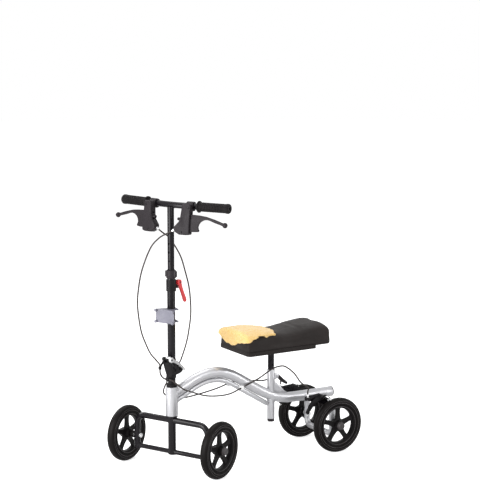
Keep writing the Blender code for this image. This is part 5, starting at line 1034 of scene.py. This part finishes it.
def build_red_lever():
    """Flat cam lever: a round head on its pivot and a thumb blade with a shallow dish and a full end."""
    way = Vector((0, math.sin(CLAMP_LEVER_TURN), -math.cos(CLAMP_LEVER_TURN)))
    across = Vector((0, way.z, -way.y))
    rings = []
    for far, wide, deep in BLADE:
        middle = Vector((CLAMP_LEVER_X, 0, 0)) + way * far
        ring = []
        for k in range(28):
            turn = 2 * math.pi * (k + 0.5) / 28
            c, s = math.cos(turn), math.sin(turn)
            u = wide * rounded(c, 0.6)
            v = deep * rounded(s, 0.6)
            dish = 0.0012 * max(0.0, 1 - (u / (wide * 0.7)) ** 2) * math.sin(math.pi * min(far / CLAMP_LEVER_LONG, 1))
            ring.append(middle + across * u + Vector((1, 0, 0)) * (v - math.copysign(dish, v)))
        rings.append(ring)
    blade = loft(rings)
    low, high = CLAMP_LEVER_X - 0.0060, CLAMP_LEVER_X + 0.0060
    head = lathe(
        [(0.0034, low), (0.0092, low), (0.0100, low + 0.0008), (0.0100, high - 0.0008), (0.0092, high), (0.0034, high)],
        40,
    )
    place = TO_STEERED @ Matrix.Translation(CLAMP_AT)
    piece("cam_lever_red", joined(blade, head), "red_lever", "clamp_lever", place, 35.0, ("clamp_lever",))


build_welds()
build_bar_details()
build_red_lever()


# Knee pad


PAD_CROWN = 0.0130
PAD_WAIST = 0.025
PAD_PINCH = 0.0035
HEEL_RISE = 0.0050
SOFT_CORNER = 0.0140
CORNER_SHARE = 0.30
CHANNELS = (0.36, 0.68)
CHANNEL_WIDE = 0.016
TOP_CRISP = 0.32
BASE_CRISP = 0.18
CUSHION_VOXEL = 0.004
CUSHION_REACH = 0.0030
STILL_HIGH = 0.010
EASE_HIGH = 0.030
FLEECE_THICK = 0.0075
FLEECE_VOXEL = 0.0026


def pad_height(share):
    """Height of the pad's side: a dip for the shin and a raised heel."""
    dip = math.sin(math.pi * unit((share - 0.18) / 0.62)) ** 2
    return PAD_SIDE - PAD_DIP * dip + HEEL_RISE * eased(unit((share - 0.74) / 0.20))


def pad_rings(grow=0.0, rows=64, around=80, channels=0.003):
    """Cross sections of the pad from front to back, grown outwards, with shallow channels across it."""
    long = PAD_BACK - PAD_FRONT
    rings = []
    for i in range(rows + 1):
        share = 0.5 - 0.5 * math.cos(math.pi * i / rows)
        y = PAD_FRONT - grow + (long + 2 * grow) * share
        end = min(share, 1 - share) * long
        ease = math.sqrt(max(1 - (1 - min(end / SOFT_CORNER, 1.0)) ** 2, 0.0))
        corner = CORNER_SHARE + (1 - CORNER_SHARE) * ease
        waist = 1 - PAD_WAIST * math.sin(math.pi * share) ** 2
        half = PAD_HALF * waist - SOFT_CORNER + SOFT_CORNER * corner + grow
        channel = sum(math.exp(-(((share - spot) / CHANNEL_WIDE) ** 2)) for spot in CHANNELS)
        side = pad_height(share) * (0.94 + 0.06 * ease)
        crown = PAD_CROWN * corner - channels * channel
        ring = []
        for k in range(around):
            turn = 2 * math.pi * (k + 0.5) / around
            c, s = math.cos(turn), math.sin(turn)
            crisp = TOP_CRISP if s > 0 else BASE_CRISP
            x = half * rounded(c, crisp)
            level = rounded(s, crisp)
            across = min(abs(x) / half, 1.0)
            top = crown * (1 - across ** 2.4) if level > 0 else 0.0
            z = PAD_BASE + side * 0.5 + level * (side * 0.5 + top + grow)
            pinch = PAD_PINCH * (1 - abs(level)) * math.sin(math.pi * share)
            ring.append(Vector((x - math.copysign(pinch, x), y, z)))
        rings.append(ring)
    return rings


def apply_modifiers(obj):
    graph = bpy.context.evaluated_depsgraph_get()
    mesh = bpy.data.meshes.new_from_object(obj.evaluated_get(graph))
    obj.modifiers.clear()
    obj.data = mesh
    return mesh


def voxels(obj, size):
    remesh = obj.modifiers.new("voxels", "REMESH")
    remesh.mode = "VOXEL"
    remesh.voxel_size = size


def softened(obj, rounds):
    """Adds smoothing and one finer level, applies every modifier and returns the mesh."""
    ease = obj.modifiers.new("ease", "SMOOTH")
    ease.iterations = rounds
    fine = obj.modifiers.new("fine", "SUBSURF")
    fine.levels = fine.render_levels = 1
    return apply_modifiers(obj)


def dress_soft(obj, slot, node):
    mesh = obj.data
    mesh.materials.clear()
    mesh.materials.append(MATERIALS[slot])
    mesh.shade_smooth()
    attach(obj, "seat")
    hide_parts(node)


def plump(obj, most, pressure=4.0, frames=20):
    """Swells a closed pad with a short cloth run; no point moves past a small reach, nor the base at all."""
    before = np.array([v.co for v in obj.data.vertices])
    cloth = obj.modifiers.new("cloth", "CLOTH")
    cloth.settings.quality = 5
    cloth.settings.mass = 0.3
    cloth.settings.use_pressure = True
    cloth.settings.uniform_pressure_force = pressure
    cloth.settings.tension_stiffness = 25.0
    cloth.settings.compression_stiffness = 25.0
    cloth.settings.bending_stiffness = 0.8
    cloth.settings.effector_weights.gravity = 0.0
    cloth.collision_settings.use_collision = False
    scene = bpy.context.scene
    for step in range(1, frames + 1):
        scene.frame_set(step)
    graph = bpy.context.evaluated_depsgraph_get()
    swollen = obj.evaluated_get(graph).to_mesh()
    after = np.array([v.co for v in swollen.vertices])
    obj.evaluated_get(graph).to_mesh_clear()
    obj.modifiers.remove(cloth)
    scene.frame_set(1)
    shift = after - before
    low = np.clip((before[:, 2:3] - PAD_BASE - STILL_HIGH) / EASE_HIGH, 0.0, 1.0)
    shift *= eased(low)
    reach = np.linalg.norm(shift, axis=1, keepdims=True)
    shift *= np.minimum(1.0, most / np.maximum(reach, 1e-9))
    spots = before + shift
    spots[:, 2] = np.maximum(spots[:, 2], PAD_BASE)
    obj.data.vertices.foreach_set("co", spots.astype(np.float32).ravel())
    obj.data.update()


def build_cushion():
    obj = piece("knee_pad", moved(loft(pad_rings(0.0004)), TO_FRAME), "pad_cover", angle=60.0)
    voxels(obj, CUSHION_VOXEL)
    apply_modifiers(obj)
    plump(obj, CUSHION_REACH)
    softened(obj, 2)
    dress_soft(obj, "pad_cover", "seat_cushion")


# The fleece's outline: height of its lower edge across the front and along the sides, and its half width
FRONT_FLAP = ((-0.110, 0.4532), (-0.051, 0.4267), (0.002, 0.4201), (0.040, 0.4366), (0.110, 0.4482))
SIDE_FLAP = ((0.250, 0.4485), (0.274, 0.4573), (0.312, 0.4625), (0.328, 0.4655), (0.336, 0.4480))
FLEECE_SIDES = ((0.322, 0.1400), (0.326, 0.1092), (0.334, 0.0940), (0.352, 0.0880), (0.385, 0.0800), (0.405, 0.0700))
KEEP_HALF = 0.14


def fleece_edge(x, y):
    """Height of the fleece's lower edge: a flap hangs over the front, and the sides climb to the top."""
    front = np.interp(x, *zip(*FRONT_FLAP))
    side = np.interp(y, *zip(*SIDE_FLAP))
    share = eased(unit((y - PAD_FRONT - 0.004) / 0.020))
    wave = 0.0016 * math.sin(y * 170.0) + 0.0014 * math.sin(x * 210.0 + 1.0)
    return front + (side - front) * share + wave


def fleece_keep_mesh():
    """Everything above the fleece's lower edge, within its half width and ahead of its back edge."""
    columns, rows = 56, 48
    low_y = PAD_FRONT - 0.03
    bm = bmesh.new()
    grid = []
    for i in range(columns + 1):
        x = -KEEP_HALF + 2 * KEEP_HALF * i / columns
        back = FLEECE_BACK - 0.010 * (x / 0.1) ** 2 + 0.0030 * math.sin(x * 95.0)
        line = []
        for k in range(rows + 1):
            y = low_y + (back - low_y) * k / rows
            across = x / KEEP_HALF * (np.interp(y, *zip(*FLEECE_SIDES)) + 0.0012 * math.sin(y * 190.0))
            low = bm.verts.new((across, y, fleece_edge(across, y)))
            line.append((low, bm.verts.new((across, y, PAD_BASE + 0.15))))
        grid.append(line)
    for i in range(columns):
        for k in range(rows):
            corners = (grid[i][k], grid[i + 1][k], grid[i + 1][k + 1], grid[i][k + 1])
            bm.faces.new([c[0] for c in reversed(corners)])
            bm.faces.new([c[1] for c in corners])
    rim = [grid[i][0] for i in range(columns)] + [grid[columns][k] for k in range(rows)]
    rim += [grid[i][rows] for i in range(columns, 0, -1)] + [grid[0][k] for k in range(rows, 0, -1)]
    for first, second in zip(rim, rim[1:] + rim[:1]):
        bm.faces.new((first[0], second[0], second[1], first[1]))
    return mesh_of(bm)


def build_fleece():
    outer = bpy.data.objects.new("fleece_outer", loft(pad_rings(FLEECE_THICK, channels=0.0015)))
    inner = bpy.data.objects.new("fleece_inner", loft(pad_rings(0.0008)))
    keep = bpy.data.objects.new("fleece_keep", fleece_keep_mesh())
    for helper in (outer, inner, keep):
        bpy.context.scene.collection.objects.link(helper)
    for other, operation in ((inner, "DIFFERENCE"), (keep, "INTERSECT")):
        cut = outer.modifiers.new("cut", "BOOLEAN")
        cut.solver = "EXACT"
        cut.operation = operation
        cut.object = other
    mesh = apply_modifiers(outer)
    for helper in (outer, inner, keep):
        bpy.data.objects.remove(helper)
    obj = piece("fleece_topper", moved(mesh, TO_FRAME), "fleece", angle=180.0)
    voxels(obj, FLEECE_VOXEL)
    mesh = softened(obj, 3)
    bm = bmesh.new()
    bm.from_mesh(mesh)
    bm.normal_update()
    for v in bm.verts:
        lump = noise.noise(v.co * 95.0) * 0.0011 + noise.noise(v.co * 230.0 + Vector((3, 7, 1))) * 0.0009
        v.co += v.normal * (lump + 0.0002)
    bm.to_mesh(mesh)
    bm.free()
    dress_soft(obj, "fleece", "fleece_cover")


def rounded_outline(half, front, back, front_r, back_r, steps=8):
    """A rectangle in plan with round corners."""
    points = []
    corners = (
        (half, front, front_r, -90), (half, back, back_r, 0), (-half, back, back_r, 90), (-half, front, front_r, 180)
    )
    for x, y, r, start in corners:
        middle_x = x - math.copysign(r, x)
        middle_y = y + r if y == front else y - r
        for i in range(steps + 1):
            turn = math.radians(start + 90 * i / steps)
            points.append((middle_x + r * math.cos(turn), middle_y + r * math.sin(turn)))
    return points


def build_wrap():
    """The cover's turned edge round the board's rim, flush with the pad's side."""
    outer = rounded_outline(PAD_HALF + 0.0010, PAD_FRONT - 0.0016, BOARD_BACK + 0.0026, 0.0120, 0.0080)
    inner = rounded_outline(BOARD_HALF + 0.0006, BOARD_FRONT - 0.0006, BOARD_BACK + 0.0008, 0.0200, 0.0120)
    low, high = BOARD_Z - 0.0018, PAD_BASE + 0.0060
    section = ((0.0, high), (0.0, low + 0.0018), (0.22, low + 0.0004), (0.5, low), (1.0, low), (1.0, high))
    rings = []
    for (ox, oy), (ix, iy) in zip(outer, inner):
        rings.append([Vector((ox + (ix - ox) * t, oy + (iy - oy) * t, z)) for t, z in section])
    piece("pad_wrap", moved(loft(rings, closed=True), TO_FRAME), "pad_cover", "seat", angle=50.0)


build_cushion()
build_wrap()
build_fleece()


# Stage and light


FLOOR_TONE = 0.86
FLOOR_LIFT = 0.66
AMBIENT = 0.42
BACKDROP = 1.0

# Name, place, target, size, power and, for a strip, its height
LIGHTS = (
    ("key", (1.4, -4.3, 3.3), (0, 0, 0.45), 2.2, 100.0),
    ("strip_left", (0.24, -1.95, 0.78), (0, -0.27, 0.78), 0.90, 30.0, 1.45),
    ("edge", (-3.2, -0.8, 2.1), (0, -0.2, 0.2), 1.2, 30.0),
    ("strip_right", (2.1, 2.3, 1.15), (0, -0.1, 1.15), 0.30, 22.0, 2.2),
    ("fill", (4.4, 0.2, 2.4), (0, 0, 0.4), 2.0, 50.0),
    ("top", (-1.0, 0.2, 3.8), (0, 0, 0.3), 2.6, 50.0),
)


def math_node(tree, operation, *values):
    made = tree.nodes.new("ShaderNodeMath")
    made.operation = operation
    for socket, value in zip(made.inputs, values):
        if isinstance(value, float):
            socket.default_value = value
        else:
            tree.links.new(value, socket)
    return made.outputs["Value"]


def build_stage():
    """A pale floor, lifted to the backdrop's white where the camera sees it."""
    bm = bmesh.new()
    bmesh.ops.create_circle(bm, cap_ends=True, radius=14.0, segments=96)
    floor = bpy.data.objects.new("floor", mesh_of(bm))
    bpy.context.scene.collection.objects.link(floor)
    material = bpy.data.materials.new("pale_floor")
    material.use_nodes = True
    tree = material.node_tree
    tree.nodes.clear()
    out = tree.nodes.new("ShaderNodeOutputMaterial")
    matte = tree.nodes.new("ShaderNodeBsdfDiffuse")
    matte.inputs["Color"].default_value = (FLOOR_TONE, FLOOR_TONE, FLOOR_TONE, 1.0)
    glow = tree.nodes.new("ShaderNodeEmission")
    path = tree.nodes.new("ShaderNodeLightPath")
    both = tree.nodes.new("ShaderNodeAddShader")
    lift = math_node(tree, "MULTIPLY", path.outputs["Is Camera Ray"], FLOOR_LIFT)
    tree.links.new(lift, glow.inputs["Strength"])
    tree.links.new(matte.outputs["BSDF"], both.inputs[0])
    tree.links.new(glow.outputs["Emission"], both.inputs[1])
    tree.links.new(both.outputs["Shader"], out.inputs["Surface"])
    floor.data.materials.append(material)


def build_world():
    """A white backdrop for the camera and for mirrored and transmitted rays, dimmer as a light."""
    world = bpy.data.worlds.new("studio")
    bpy.context.scene.world = world
    world.use_nodes = True
    tree = world.node_tree
    back = tree.nodes["Background"]
    back.inputs["Color"].default_value = (1.0, 1.0, 1.0, 1.0)
    path = tree.nodes.new("ShaderNodeLightPath")
    seen = math_node(tree, "MAXIMUM", path.outputs["Is Camera Ray"], path.outputs["Is Glossy Ray"])
    seen = math_node(tree, "MAXIMUM", seen, path.outputs["Is Transmission Ray"])
    level = tree.nodes.new("ShaderNodeMapRange")
    level.inputs["To Min"].default_value = AMBIENT
    level.inputs["To Max"].default_value = BACKDROP
    tree.links.new(seen, level.inputs["Value"])
    tree.links.new(level.outputs["Result"], back.inputs["Strength"])


def area_light(name, place, target, size, power, high=None):
    data = bpy.data.lights.new(name, "AREA")
    data.shape = "RECTANGLE" if high else "DISK"
    data.size = size
    if high:
        data.size_y = high
    data.energy = power
    light = bpy.data.objects.new(name, data)
    bpy.context.scene.collection.objects.link(light)
    light.location = place
    way = Vector(target) - Vector(place)
    light.rotation_mode = "QUATERNION"
    light.rotation_quaternion = way.to_track_quat("-Z", "Y")


build_stage()
build_world()
for entry in LIGHTS:
    area_light(*entry)

bpy.context.scene.view_settings.view_transform = "Standard"
